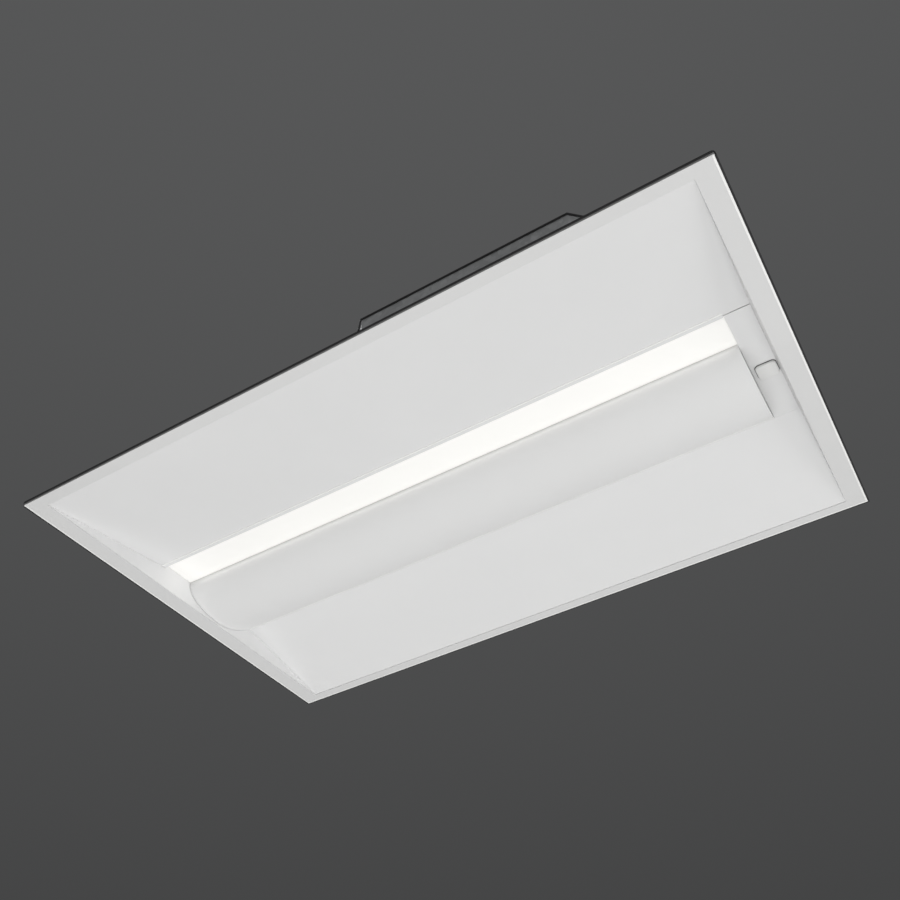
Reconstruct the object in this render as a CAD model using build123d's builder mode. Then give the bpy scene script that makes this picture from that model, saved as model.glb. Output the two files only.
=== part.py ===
"""Recessed troffer light for a 600 x 900 mm ceiling opening.

Frame: +X along the length, +Y from the lens side to the hinge side, +Z up into the ceiling.
Origin: centre of the underside of the trim flange. All sizes in millimetres.
"""
from build123d import *
import os
from math import cos, degrees, asin, radians, sin, tan

os.makedirs("parts", exist_ok=True)

# ---------------------------------------------------------------- driving dimensions
frame_length = 908.0            # outside of the trim flange along X
frame_width = 603.0             # outside of the trim flange along Y
end_flange = 25.5               # visible flange at the two ends
side_flange = 16.5              # visible flange at the two long sides
trim_sheet = 1.0
trim_return_height = 3.0        # upturned outer edge of the flange
trim_corner_radius = 1.6

gasket_width = 5.0
gasket_gap = 0.5                # between gasket and upturned edge
gasket_lip_height = 2.0         # lip over the upturned edge
gasket_lip_reach = 1.5          # lip beyond the flange
gasket_lip_radius = 4.0

sheet = 0.8                     # folded white sheet of wings, end walls and channel
fit_gap = 0.2                   # between a folded sheet and the end wall it meets
wing_foot = 8.0                 # part of a wing that lies on the flange
wing_rise = 28.0                # underside of a wing's inner edge above the flange
near_wing_run = 202.0           # from the flange opening to the wing's inner edge
channel_opening = 192.0         # between the inner edges of the two wings; the far wing fills the rest
wing_return_height = 12.0
wing_bend_radius = 0.7
wall_draft = 7.0                # degrees the end walls lean inwards
end_wall_foot = 11.5
end_wall_shoulder = 7.0         # height of an end wall's outer corners above the flange
end_wall_margin = 14.0          # end wall beyond the channel on each side
end_wall_step_z = 40.0
cut_over = 1.0                  # by how much a cutting shape passes the face it cuts

housing_height = 62.0
channel_skirt_lift = 3.0        # lower edge of the channel above the wing edge

bezel_width = 4.5               # tray edge seen between near wing and lens
lens_width = 50.3
lens_z = 33.0                   # underside of the lens
lens_sheet = 1.6
lens_leg_height = 10.0
lens_leg_thickness = 1.2
lens_gap = 0.3                  # between the lens and the tray that holds it
lens_tuck = 4.5                 # lens above the sensor plate
tray_tuck = 2.0                 # tray beyond the lens

tray_sheet = 1.0
wire_space = 10.0               # between tray and channel, for the leads
tray_far_wall_gap = 0.6         # tray wall above the lip of the hinged reflector
tray_flange_gap = 0.3
spacer_length = 24.0
spacer_width = 34.0
spacer_wall = 1.0
spacer_x = (-300.0, 60.0, 340.0)

board_width = 20.0
board_thickness = 1.6
board_end_margin = 12.0         # from the ends of the lens to the boards
board_corner_radius = 1.0
led_count = 24
led_end_margin = 10.0           # from a board's end to the middle of its last LED
led_size = 3.0
led_height = 0.7
connector_gap = 14.0            # between the two boards
connector_size = 12.0
connector_height = 10.4
connector_clearance = 0.3
connector_drop = 1.0            # connector below the boards' backs
connector_radius = 0.8

reflector_sheet = 1.0
reflector_near_half = 66.0      # from the near lip to the lowest line of the curve
reflector_crown_z = 4.0
reflector_shoulder_z = 30.0     # where the near side of the curve stands upright
reflector_lip_z = 36.4
reflector_far_rise = 21.955     # from the lowest line of the curve to its far edge
reflector_lens_gap = 0.7
reflector_far_gap = 3.7         # to the edge of the far wing
reflector_end_gap = 1.0
reflector_end_height = 31.0
reflector_lip_width = 6.0
reflector_core_turn = 2.0       # degrees the hollow runs past the far edge
reflector_core_rise = 5.0       # hollow above the lip

knuckle_radius = 2.5
knuckle_length = 30.0
bracket_knuckle_length = 8.6
knuckle_gap = 0.4
knuckle_relief = 0.7
hinge_pin_radius = 1.5
pin_end_length = 1.0            # pin standing out of its last knuckle
running_clearance = 0.05
left_hinge_x = -290.0
right_hinge_x = 255.0
bracket_sheet = 1.2
bracket_height = 15.2           # above the hinge line
bracket_plate_height = 10.7

catch_sheet = 0.8
catch_width = 18.0
catch_left_x = -260.0
catch_right_x = 225.0
catch_height = 12.6             # above the reflector's lip
catch_step_height = 2.2
catch_reach = 2.9               # below the lip
catch_lip_gap = 0.4

sensor_plate_length = 34.7
sensor_plate_near_gap = 0.8     # dark seam along the near wing
sensor_plate_return = 4.5
sensor_plate_far_return = 9.0
sensor_inset = 17.2             # from the plate's inner edge
sensor_from_far_wing = 85.3
sensor_cover_length = 25.0
sensor_cover_width = 23.0
sensor_cover_height = 4.0
sensor_cover_radius = 5.0
sensor_cover_edge_radius = 1.2
sensor_neck_radius = 8.0
sensor_neck_clearance = 0.3
sensor_module_length = 23.0
sensor_module_width = 34.0
sensor_module_height = 18.0
sensor_module_radius = 2.0

driver_x = -5.0
driver_length = 230.0
driver_width = 42.0
driver_height = 26.0
driver_edge_radius = 2.0
driver_block_length = 14.0
driver_block_width = 34.0
driver_block_height = 18.0
driver_block_lift = 4.0
driver_block_radius = 1.0

box_end_inset = 116.5           # from the flange opening
box_side_inset = 9.0
box_length = 287.0
box_width = 90.0
box_top_drop = 2.0              # box under the top of the housing
box_sheet = 1.0
box_corner_cut = 14.0
box_floor_z = 17.0
box_slot_lift = 1.5             # above the box floor
box_slot_height = 9.5
lid_knuckle_radius = 2.2
lid_pin_radius = 1.2
lid_hinge_offset = 2.6          # hinge line behind the box
lid_hinge_inset = 40.0
lid_knuckle_length = 24.0
lid_side_knuckle_length = 8.0
lid_screw_radius = 2.0
lid_screw_head_radius = 4.0
lid_screw_head_height = 2.4
lid_screw_length = 6.0
lid_screw_inset = 8.0
lid_tab_depth = 8.0             # hinge tab on the lid
lid_overhang = 0.3              # lid beyond the walls of the box
lid_seal_wall = 1.2             # rubber edging round three sides of the lid
lid_seal_drop = 1.2             # below the top of the walls
lid_seal_lap = 3.0              # over the lid
lid_seal_top = 0.6
lid_seal_end_gap = 10.0         # edging stops short of the hinge side
screw_slot_width = 1.0
screw_slot_depth = 1.0
screw_hole_clearance = 0.5
entry_radius = 11.1             # opening for a cable clamp
entry_lift = 21.0               # above the box floor
bushing_radius = 13.6
bushing_wall = 2.2
bushing_lip = 2.0
bushing_fit = 0.05

terminal_inset = 62.0           # from the box's right wall
terminal_side_inset = 37.0      # from the box's near wall
terminal_length = 37.0
terminal_depth = 22.0
terminal_height = 14.0
lever_pitch = 11.5
lever_width = 8.0
lever_side_gap = 0.3
lever_length = 15.0
lever_thickness = 2.6
lever_pin_radius = 1.0
lever_pin_length = 1.4
lever_pivot_inset = 4.0         # from the block's far face
lever_drop = 0.4                # lever under the block's top
lever_slot_spare = 1.6          # slot under the lever

raceway_width = 44.0
raceway_sheet = 0.8
raceway_box_rise = 20.0         # raceway roof above the wing, at the box
raceway_top_gap = 2.0           # raceway roof under the channel's top
channel_slot_lift = 1.4         # lead opening above the tray
channel_slot_drop = 0.2         # lead opening under the raceway's roof
lead_radius = 1.2
lead_spacing = 14.0
wire_clip_length = 8.0
wire_clip_floor = 3.0           # wire clip below the lead's centre
wire_clip_clearance = 0.3
sensor_run_drop = 6.0           # clipped run of the sensor lead, under the channel's top
sensor_run_inset = 27.0         # from the far wing's edge
sensor_run_start_gap = 76.0     # from the driver's input block
sensor_run_end_gap = 66.0       # from the sensor module
sensor_lead_offset = 12.0       # from the driver's middle
sensor_lead_rise = 12.0         # above the module's foot

clip_pivot_x_inset = 18.5       # grid clip pivots, from the ends of the flange
clip_pivot_y_inset = 80.0       # from the flange opening
clip_ear_z = 7.0
clip_ear_sheet = 1.2
clip_ear_width = 16.0
clip_length = 34.0
clip_width = 11.0
clip_sheet = 1.2
clip_tip_height = 7.0
clip_rivet_radius = 2.0
clip_rivet_head_radius = 3.6
clip_rivet_head_height = 1.2

hanger_end_inset = 98.5         # from the flange opening
hanger_side_inset = 22.6        # from the sides of the channel
hanger_width = 22.0
hanger_height = 24.0
hanger_sheet = 1.5
hanger_foot = 16.0
hanger_hole_radius = 3.25
hanger_hole_z = 15.0            # above the housing
hanger_corner_radius = 4.0

rivet_head_radius = 3.2
rivet_head_height = 1.0
rivet_z = 35.5
rivet_pitch = 170.0
rivet_count = 5
ground_screw_radius = 2.0
ground_screw_head_radius = 4.0
ground_screw_height = 2.6
ground_screw_offset = 60.0      # from the terminal block
lug_sheet = 0.8
lug_radius = 4.4
lug_clearance = 0.05
lug_barrel_radius = 1.9
lug_barrel_length = 7.0

# ---------------------------------------------------------------- derived places
cavity_half_x = frame_length / 2 - end_flange
cavity_half_y = frame_width / 2 - side_flange
foot_z = trim_sheet
draft_slope = tan(radians(wall_draft))
housing_inner_z = housing_height - sheet
near_wing_edge_y = -cavity_half_y + near_wing_run
far_wing_edge_y = near_wing_edge_y + channel_opening
near_channel_y = near_wing_edge_y - 2 * sheet
far_channel_y = far_wing_edge_y + 2 * sheet

sensor_plate_left_x = cavity_half_x - sensor_plate_length
sensor_x = sensor_plate_left_x + sensor_inset
sensor_y = far_wing_edge_y - sensor_from_far_wing
lens_near_y = near_wing_edge_y + bezel_width
lens_far_y = lens_near_y + lens_width
lens_right_x = sensor_plate_left_x + lens_tuck
tray_near_y = lens_near_y - lens_gap - tray_sheet
tray_far_y = lens_far_y + lens_gap + tray_sheet
tray_top_z = housing_inner_z - wire_space
tray_mid_y = (tray_near_y + tray_far_y) / 2
tray_right_x = lens_right_x + tray_tuck
tray_far_wall_z = reflector_lip_z + tray_far_wall_gap
board_z = tray_top_z - tray_sheet - board_thickness
board_start_x = -cavity_half_x + board_end_margin
board_length = (lens_right_x - board_end_margin - board_start_x - connector_gap) / 2
led_pitch = (board_length - 2 * led_end_margin) / (led_count - 1)
connector_x = board_start_x + board_length + connector_gap / 2

reflector_near_y = lens_far_y + reflector_lens_gap
reflector_crown_y = reflector_near_y + reflector_near_half
reflector_right_x = sensor_plate_left_x - reflector_end_gap
reflector_far_y = far_wing_edge_y - reflector_far_gap
reflector_far_half = reflector_far_y - reflector_crown_y
reflector_far_radius = (reflector_far_half ** 2 + reflector_far_rise ** 2) / (2 * reflector_far_rise)
far_arc_angle = asin(reflector_far_half / reflector_far_radius)
far_arc_centre = (reflector_crown_y, reflector_crown_z + reflector_far_radius)
hinge_y = reflector_far_y - knuckle_radius * sin(far_arc_angle)
hinge_z = reflector_crown_z + reflector_far_rise + knuckle_radius * cos(far_arc_angle)

bracket_top_z = hinge_z + bracket_height
bracket_plate_low_z = bracket_top_z - bracket_plate_height
catch_step_z = reflector_lip_z + catch_step_height

near_wing_slope = (wing_rise - foot_z) / (near_wing_run - sheet)
driver_y = (tray_far_y + far_channel_y) / 2
driver_z = housing_inner_z - driver_height
driver_block_z = driver_z + driver_block_lift
box_right_x = cavity_half_x - box_end_inset
box_left_x = box_right_x - box_length
box_mid_x = (box_left_x + box_right_x) / 2
box_near_y = -cavity_half_y + box_side_inset
box_far_y = box_near_y + box_width
box_top_z = housing_height - box_top_drop
box_slot_low_z = box_floor_z + box_slot_lift
entry_y = (box_near_y + box_far_y) / 2
entry_z = box_floor_z + entry_lift
lid_hinge_y = box_far_y + lid_hinge_offset
clip_pivot_x = frame_length / 2 - clip_pivot_x_inset
clip_pivot_y = cavity_half_y - clip_pivot_y_inset
terminal_x = box_right_x - terminal_inset
terminal_y = box_near_y + terminal_side_inset
raceway_roof_z = housing_height - raceway_top_gap
terminal_top_z = box_floor_z + terminal_height


def wing_top(y):
    """Height of the upper face of the near wing at a place across the light."""
    return foot_z + sheet + (cavity_half_y + y) * near_wing_slope


def cut_to_end_walls(gap):
    """Trim the part being built to the leaning end walls, less a gap at each end."""
    low = cavity_half_x - gap
    high = low - housing_height * draft_slope
    with BuildSketch(Plane.XZ) as space:
        Polygon((-low, 0), (low, 0), (high, housing_height), (-high, housing_height), align=None)
    extrude(space.sketch, amount=frame_width, both=True, mode=Mode.INTERSECT)


def cut_reflector_ends(inset):
    """Trim the hinged reflector: leaning left end, upright right end beside the sensor plate."""
    low = -cavity_half_x + reflector_end_gap + inset
    high = low + housing_height * draft_slope
    right = reflector_right_x - inset
    with BuildSketch(Plane.XZ) as space:
        Polygon((low, 0), (right, 0), (right, housing_height), (high, housing_height), align=None)
    extrude(space.sketch, amount=frame_width, both=True, mode=Mode.INTERSECT)


def slab(x_low, x_high, y_low, y_high, z_low, z_high, mode=Mode.ADD):
    """A rectangular block of the part being built, between stated faces."""
    with BuildSketch(Plane.XY.offset(z_low)) as base:
        with Locations(((x_low + x_high) / 2, (y_low + y_high) / 2)):
            Rectangle(x_high - x_low, y_high - y_low)
    extrude(base.sketch, amount=z_high - z_low, mode=mode)


def rod_x(x_low, x_high, y, z, radius, mode=Mode.ADD):
    """A round bar along X."""
    with BuildSketch(Plane.YZ.offset(x_low)) as base:
        with Locations((y, z)):
            Circle(radius)
    extrude(base.sketch, amount=x_high - x_low, mode=mode)


def rod_z(x, y, z_low, z_high, radius, mode=Mode.ADD):
    """A round bar along Z."""
    with BuildSketch(Plane.XY.offset(z_low)) as base:
        with Locations((x, y)):
            Circle(radius)
    extrude(base.sketch, amount=z_high - z_low, mode=mode)


# ---------------------------------------------------------------- trim flange and gasket
with BuildPart() as trim_frame:
    with BuildSketch():
        RectangleRounded(frame_length, frame_width, trim_corner_radius)
        Rectangle(2 * cavity_half_x, 2 * cavity_half_y, mode=Mode.SUBTRACT)
    extrude(amount=trim_sheet)
    with BuildSketch():
        RectangleRounded(frame_length, frame_width, trim_corner_radius)
        RectangleRounded(frame_length - 2 * trim_sheet, frame_width - 2 * trim_sheet,
                         trim_corner_radius - trim_sheet, mode=Mode.SUBTRACT)
    extrude(amount=trim_return_height)
trim_frame.part.label = "trim_frame"
export_step(trim_frame.part, "parts/trim_frame.step")

gasket_inset = trim_sheet + gasket_gap
gasket_hole_length = frame_length - 2 * (gasket_inset + gasket_width)
gasket_hole_width = frame_width - 2 * (gasket_inset + gasket_width)
with BuildPart() as perimeter_gasket:
    with BuildSketch(Plane.XY.offset(trim_sheet)):
        Rectangle(frame_length - 2 * gasket_inset, frame_width - 2 * gasket_inset)
        Rectangle(gasket_hole_length, gasket_hole_width, mode=Mode.SUBTRACT)
    extrude(amount=trim_return_height - trim_sheet)
    with BuildSketch(Plane.XY.offset(trim_return_height)):
        RectangleRounded(frame_length + 2 * gasket_lip_reach, frame_width + 2 * gasket_lip_reach,
                         gasket_lip_radius)
        Rectangle(gasket_hole_length, gasket_hole_width, mode=Mode.SUBTRACT)
    extrude(amount=gasket_lip_height)
perimeter_gasket.part.label = "perimeter_gasket"
export_step(perimeter_gasket.part, "parts/perimeter_gasket.step")


# ---------------------------------------------------------------- sloping wings
def draw_wing(side, edge_y):
    """Folded section of a wing: foot on the flange, slope, upturned inner edge."""
    return_y = edge_y + side * sheet
    return_z = wing_rise + wing_return_height
    with BuildSketch(Plane.YZ) as section:
        Polygon(
            (side * (cavity_half_y + wing_foot), foot_z),
            (side * cavity_half_y, foot_z),
            (edge_y, wing_rise),
            (edge_y, return_z),
            (return_y, return_z),
            (return_y, wing_rise + sheet),
            (side * cavity_half_y, foot_z + sheet),
            (side * (cavity_half_y + wing_foot), foot_z + sheet),
            align=None,
        )
    extrude(section.sketch, amount=frame_length / 2, both=True)


with BuildPart() as near_wing:
    draw_wing(-1, near_wing_edge_y)
    cut_to_end_walls(fit_gap)
    bend = near_wing.edges().filter_by(Axis.X).sort_by_distance((0, near_wing_edge_y, wing_rise))[0]
    fillet(bend, radius=wing_bend_radius)
near_wing.part.label = "near_wing"
export_step(near_wing.part, "parts/near_wing.step")

with BuildPart() as far_wing:
    draw_wing(1, far_wing_edge_y)
    cut_to_end_walls(fit_gap)
    bend = far_wing.edges().filter_by(Axis.X).sort_by_distance((0, far_wing_edge_y, wing_rise))[0]
    fillet(bend, radius=wing_bend_radius)
far_wing.part.label = "far_wing"
export_step(far_wing.part, "parts/far_wing.step")


# ---------------------------------------------------------------- end walls
def draw_end_wall(side):
    """Leaning end wall with a foot on the flange and two ears for the grid clips."""
    lean = radians(wall_draft)
    wall_plane = Plane(origin=(side * cavity_half_x, 0, 0), x_dir=(0, side, 0),
                       z_dir=(side * cos(lean), 0, sin(lean)))
    near_y = near_channel_y - end_wall_margin
    far_y = far_channel_y + end_wall_margin
    outline = (
        (-cavity_half_y, foot_z), (-cavity_half_y, end_wall_shoulder),
        (near_y, end_wall_step_z), (near_y, housing_height),
        (far_y, housing_height), (far_y, end_wall_step_z),
        (cavity_half_y, end_wall_shoulder), (cavity_half_y, foot_z),
    )
    with BuildSketch(wall_plane) as face:
        Polygon(*[(side * y, z / cos(lean)) for y, z in outline], align=None)
    extrude(face.sketch, amount=sheet)
    foot_x = sorted((side * (cavity_half_x - foot_z * draft_slope),
                     side * (cavity_half_x + end_wall_foot)))
    slab(foot_x[0], foot_x[1], -cavity_half_y, cavity_half_y, foot_z, foot_z + sheet)
    ear_root = cavity_half_x - clip_ear_z * draft_slope + sheet / 2
    ear_tip = clip_pivot_x + clip_ear_width / 2
    ear_x = sorted((side * ear_root, side * ear_tip))
    for ear_y in (-clip_pivot_y, clip_pivot_y):
        slab(ear_x[0], ear_x[1], ear_y - clip_ear_width / 2, ear_y + clip_ear_width / 2,
             clip_ear_z, clip_ear_z + clip_ear_sheet)
        rod_z(side * clip_pivot_x, ear_y, clip_ear_z, clip_ear_z + clip_ear_sheet,
              clip_rivet_radius + running_clearance, mode=Mode.SUBTRACT)


with BuildPart() as end_wall_left:
    draw_end_wall(-1)
end_wall_left.part.label = "end_wall_left"
export_step(end_wall_left.part, "parts/end_wall_left.step")

with BuildPart() as end_wall_right:
    draw_end_wall(1)
end_wall_right.part.label = "end_wall_right"
export_step(end_wall_right.part, "parts/end_wall_right.step")

# ---------------------------------------------------------------- centre channel
channel_skirt_z = wing_rise + channel_skirt_lift
with BuildPart() as center_channel:
    with BuildSketch(Plane.YZ):
        Polygon(
            (near_channel_y, channel_skirt_z), (near_channel_y, housing_height),
            (far_channel_y, housing_height), (far_channel_y, channel_skirt_z),
            (far_channel_y - sheet, channel_skirt_z), (far_channel_y - sheet, housing_inner_z),
            (near_channel_y + sheet, housing_inner_z), (near_channel_y + sheet, channel_skirt_z),
            align=None,
        )
    extrude(amount=frame_length / 2, both=True)
    cut_to_end_walls(fit_gap)
    slab(terminal_x - raceway_width / 2 + raceway_sheet, terminal_x + raceway_width / 2 - raceway_sheet,
         near_channel_y - cut_over, near_channel_y + sheet + cut_over,
         tray_top_z + channel_slot_lift, raceway_roof_z - raceway_sheet - channel_slot_drop,
         mode=Mode.SUBTRACT)
center_channel.part.label = "center_channel"
export_step(center_channel.part, "parts/center_channel.step")

# ---------------------------------------------------------------- light engine
with BuildPart() as led_tray:
    with BuildSketch(Plane.YZ.offset(tray_right_x)):
        Polygon(
            (near_wing_edge_y + tray_flange_gap, lens_z),
            (tray_near_y + tray_sheet, lens_z),
            (tray_near_y + tray_sheet, tray_top_z - tray_sheet),
            (tray_far_y - tray_sheet, tray_top_z - tray_sheet),
            (tray_far_y - tray_sheet, tray_far_wall_z),
            (tray_far_y, tray_far_wall_z),
            (tray_far_y, tray_top_z),
            (tray_near_y, tray_top_z),
            (tray_near_y, lens_z + tray_sheet),
            (near_wing_edge_y + tray_flange_gap, lens_z + tray_sheet),
            align=None,
        )
    extrude(amount=-(tray_right_x + cavity_half_x))
    cut_to_end_walls(fit_gap)
    hole = connector_size / 2 + connector_clearance
    slab(connector_x - hole, connector_x + hole, tray_mid_y - hole, tray_mid_y + hole,
         tray_top_z - tray_sheet - cut_over, tray_top_z + cut_over, mode=Mode.SUBTRACT)
led_tray.part.label = "led_tray"
export_step(led_tray.part, "parts/led_tray.step")

with BuildPart() as tray_spacers:
    for x in spacer_x:
        with BuildSketch(Plane.YZ.offset(x - spacer_length / 2)):
            with Locations((tray_mid_y, tray_top_z + wire_space / 2)):
                Rectangle(spacer_width, wire_space)
                Rectangle(spacer_width - 2 * spacer_wall, wire_space - 2 * spacer_wall,
                          mode=Mode.SUBTRACT)
        extrude(amount=spacer_length)
tray_spacers.part.label = "tray_spacers"
export_step(tray_spacers.part, "parts/tray_spacers.step")

with BuildPart() as lens:
    with BuildSketch(Plane.YZ.offset(lens_right_x)):
        Polygon(
            (lens_near_y, lens_z), (lens_far_y, lens_z),
            (lens_far_y, lens_z + lens_leg_height),
            (lens_far_y - lens_leg_thickness, lens_z + lens_leg_height),
            (lens_far_y - lens_leg_thickness, lens_z + lens_sheet),
            (lens_near_y + lens_leg_thickness, lens_z + lens_sheet),
            (lens_near_y + lens_leg_thickness, lens_z + lens_leg_height),
            (lens_near_y, lens_z + lens_leg_height),
            align=None,
        )
    extrude(amount=-(lens_right_x + cavity_half_x))
    cut_to_end_walls(lens_gap)
lens.part.label = "lens"
export_step(lens.part, "parts/lens.step")

board_starts = {"left": board_start_x, "right": board_start_x + board_length + connector_gap}
for board_side, start_x in board_starts.items():
    with BuildPart() as led_board:
        slab(start_x, start_x + board_length, tray_mid_y - board_width / 2, tray_mid_y + board_width / 2,
             board_z, board_z + board_thickness)
        fillet(led_board.edges().filter_by(Axis.Z), radius=board_corner_radius)
    led_board.part.label = f"led_board_{board_side}"
    export_step(led_board.part, f"parts/led_board_{board_side}.step")

    with BuildPart() as leds:
        with BuildSketch(Plane.XY.offset(board_z)):
            with Locations((start_x + board_length / 2, tray_mid_y)):
                with GridLocations(led_pitch, led_pitch, led_count, 1):
                    Rectangle(led_size, led_size)
        extrude(amount=-led_height)
    leds.part.label = f"leds_{board_side}"
    export_step(leds.part, f"parts/leds_{board_side}.step")

connector_z = board_z - connector_drop
with BuildPart() as board_connector:
    slab(connector_x - connector_size / 2, connector_x + connector_size / 2,
         tray_mid_y - connector_size / 2, tray_mid_y + connector_size / 2,
         connector_z, connector_z + connector_height)
    fillet(board_connector.edges().filter_by(Axis.Z), radius=connector_radius)
board_connector.part.label = "board_connector"
export_step(board_connector.part, "parts/board_connector.step")

# ---------------------------------------------------------------- hinged curved reflector
crown_depth = reflector_shoulder_z - reflector_crown_z


def draw_reflector_section(inset, extra_turn, close_points):
    """Closed section of the reflector's curve, drawn inset from its outside."""
    with BuildSketch(Plane.YZ.offset(reflector_right_x)) as section:
        with BuildLine():
            curve_near = EllipticalCenterArc((reflector_crown_y, reflector_shoulder_z),
                                             reflector_near_half - inset, crown_depth - inset,
                                             start_angle=180, arc_size=90)
            curve_far = CenterArc(far_arc_centre, reflector_far_radius - inset,
                                  start_angle=270, arc_size=degrees(far_arc_angle) + extra_turn)
            Polyline(curve_far @ 1, *close_points, curve_near @ 0)
        make_face()
    extrude(section.sketch, amount=-(reflector_right_x + cavity_half_x))


core_top_z = reflector_lip_z + reflector_core_rise
core_end_angle = far_arc_angle + radians(reflector_core_turn)
with BuildPart() as reflector_hollow:
    far_end_y = reflector_crown_y + (reflector_far_radius - reflector_sheet) * sin(core_end_angle)
    draw_reflector_section(reflector_sheet, reflector_core_turn, [
        (far_end_y, core_top_z),
        (reflector_near_y + reflector_sheet, core_top_z),
    ])
    cut_reflector_ends(reflector_sheet)

hinge_xs = (left_hinge_x, right_hinge_x)
half_knuckle = knuckle_length / 2
with BuildPart() as curved_reflector:
    draw_reflector_section(0, 0, [
        (hinge_y, hinge_z),
        (hinge_y - reflector_lip_width, reflector_end_height),
        (reflector_near_y + 2 * reflector_lip_width, reflector_end_height),
        (reflector_near_y + reflector_lip_width, reflector_lip_z),
        (reflector_near_y, reflector_lip_z),
    ])
    cut_reflector_ends(0)
    add(reflector_hollow.part, mode=Mode.SUBTRACT)
    for x in hinge_xs:
        reach = half_knuckle + 2 * knuckle_gap + bracket_knuckle_length
        rod_x(x - reach, x + reach, hinge_y, hinge_z, knuckle_radius + knuckle_relief, mode=Mode.SUBTRACT)
        rod_x(x - half_knuckle, x + half_knuckle, hinge_y, hinge_z, knuckle_radius)
        foot_dy = knuckle_radius * 2 * cos(far_arc_angle)
        foot_dz = knuckle_radius * 2 * sin(far_arc_angle)
        rise_y = (knuckle_radius - reflector_sheet) * sin(far_arc_angle)
        rise_z = (knuckle_radius - reflector_sheet) * cos(far_arc_angle)
        with BuildSketch(Plane.YZ.offset(x - half_knuckle)):
            Polygon(
                (hinge_y, hinge_z),
                (reflector_far_y, hinge_z - knuckle_radius * cos(far_arc_angle)),
                (reflector_far_y - foot_dy, hinge_z - knuckle_radius * cos(far_arc_angle) - foot_dz),
                (hinge_y + rise_y - foot_dy, hinge_z - rise_z - foot_dz),
                align=None,
            )
        extrude(amount=knuckle_length)
        rod_x(x - half_knuckle, x + half_knuckle, hinge_y, hinge_z,
              hinge_pin_radius + running_clearance, mode=Mode.SUBTRACT)
curved_reflector.part.label = "curved_reflector"
export_step(curved_reflector.part, "parts/curved_reflector.step")

with BuildPart() as hinge_brackets:
    for x in hinge_xs:
        inner = half_knuckle + knuckle_gap
        outer = inner + bracket_knuckle_length
        for low, high in ((x - outer, x - inner), (x + inner, x + outer)):
            rod_x(low, high, hinge_y, hinge_z, knuckle_radius)
            slab(low, high, hinge_y - bracket_sheet / 2, hinge_y + bracket_sheet / 2,
                 hinge_z, bracket_top_z)
            rod_x(low, high, hinge_y, hinge_z, hinge_pin_radius + running_clearance, mode=Mode.SUBTRACT)
        slab(x - outer, x + outer, hinge_y - bracket_sheet / 2, far_wing_edge_y,
             bracket_top_z - bracket_sheet, bracket_top_z)
        slab(x - outer, x + outer, far_wing_edge_y - bracket_sheet, far_wing_edge_y,
             bracket_plate_low_z, bracket_top_z)
hinge_brackets.part.label = "hinge_brackets"
export_step(hinge_brackets.part, "parts/hinge_brackets.step")

with BuildPart() as hinge_pins:
    for x in hinge_xs:
        reach = half_knuckle + knuckle_gap + bracket_knuckle_length + pin_end_length
        rod_x(x - reach, x + reach, hinge_y, hinge_z, hinge_pin_radius)
hinge_pins.part.label = "hinge_pins"
export_step(hinge_pins.part, "parts/hinge_pins.step")

catch_y = reflector_near_y + reflector_sheet + catch_lip_gap
with BuildPart() as door_catches:
    for x in (catch_left_x, catch_right_x):
        low = x - catch_width / 2
        high = x + catch_width / 2
        slab(low, high, tray_far_y, tray_far_y + catch_sheet, catch_step_z - catch_sheet,
             reflector_lip_z + catch_height)
        slab(low, high, tray_far_y, catch_y + catch_sheet, catch_step_z - catch_sheet, catch_step_z)
        slab(low, high, catch_y, catch_y + catch_sheet, reflector_lip_z - catch_reach, catch_step_z)
door_catches.part.label = "door_catches"
export_step(door_catches.part, "parts/door_catches.step")

# ---------------------------------------------------------------- sensor end plate
plate_near_y = near_wing_edge_y + sensor_plate_near_gap
with BuildPart() as sensor_plate:
    slab(sensor_plate_left_x, cavity_half_x, plate_near_y, far_wing_edge_y, wing_rise, wing_rise + sheet)
    slab(sensor_plate_left_x, sensor_plate_left_x + sheet, plate_near_y,
         far_wing_edge_y - sheet, wing_rise, wing_rise + sensor_plate_return)
    slab(sensor_plate_left_x, cavity_half_x, far_wing_edge_y - sheet, far_wing_edge_y,
         wing_rise, wing_rise + sensor_plate_far_return)
    cut_to_end_walls(fit_gap)
    rod_z(sensor_x, sensor_y, wing_rise - cut_over, wing_rise + sheet + cut_over,
          sensor_neck_radius + sensor_neck_clearance, mode=Mode.SUBTRACT)
sensor_plate.part.label = "sensor_plate"
export_step(sensor_plate.part, "parts/sensor_plate.step")

module_z = wing_rise + sheet
with BuildPart() as sensor_cover:
    with BuildSketch(Plane.XY.offset(wing_rise - sensor_cover_height)):
        with Locations((sensor_x, sensor_y)):
            RectangleRounded(sensor_cover_length, sensor_cover_width, sensor_cover_radius)
    extrude(amount=sensor_cover_height)
    fillet(sensor_cover.faces().sort_by(Axis.Z)[0].edges(), radius=sensor_cover_edge_radius)
    rod_z(sensor_x, sensor_y, wing_rise, module_z, sensor_neck_radius)
sensor_cover.part.label = "sensor_cover"
export_step(sensor_cover.part, "parts/sensor_cover.step")

with BuildPart() as sensor_module:
    slab(sensor_x - sensor_module_length / 2, sensor_x + sensor_module_length / 2,
         sensor_y - sensor_module_width / 2, sensor_y + sensor_module_width / 2,
         module_z, module_z + sensor_module_height)
    fillet(sensor_module.edges().filter_by(Axis.Z), radius=sensor_module_radius)
sensor_module.part.label = "sensor_module"
export_step(sensor_module.part, "parts/sensor_module.step")

# ---------------------------------------------------------------- driver
driver_half = driver_length / 2
with BuildPart() as led_driver:
    slab(driver_x - driver_half, driver_x + driver_half, driver_y - driver_width / 2,
         driver_y + driver_width / 2, driver_z, housing_inner_z)
    fillet(led_driver.edges().filter_by(Axis.X), radius=driver_edge_radius)
led_driver.part.label = "led_driver"
export_step(led_driver.part, "parts/led_driver.step")

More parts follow.
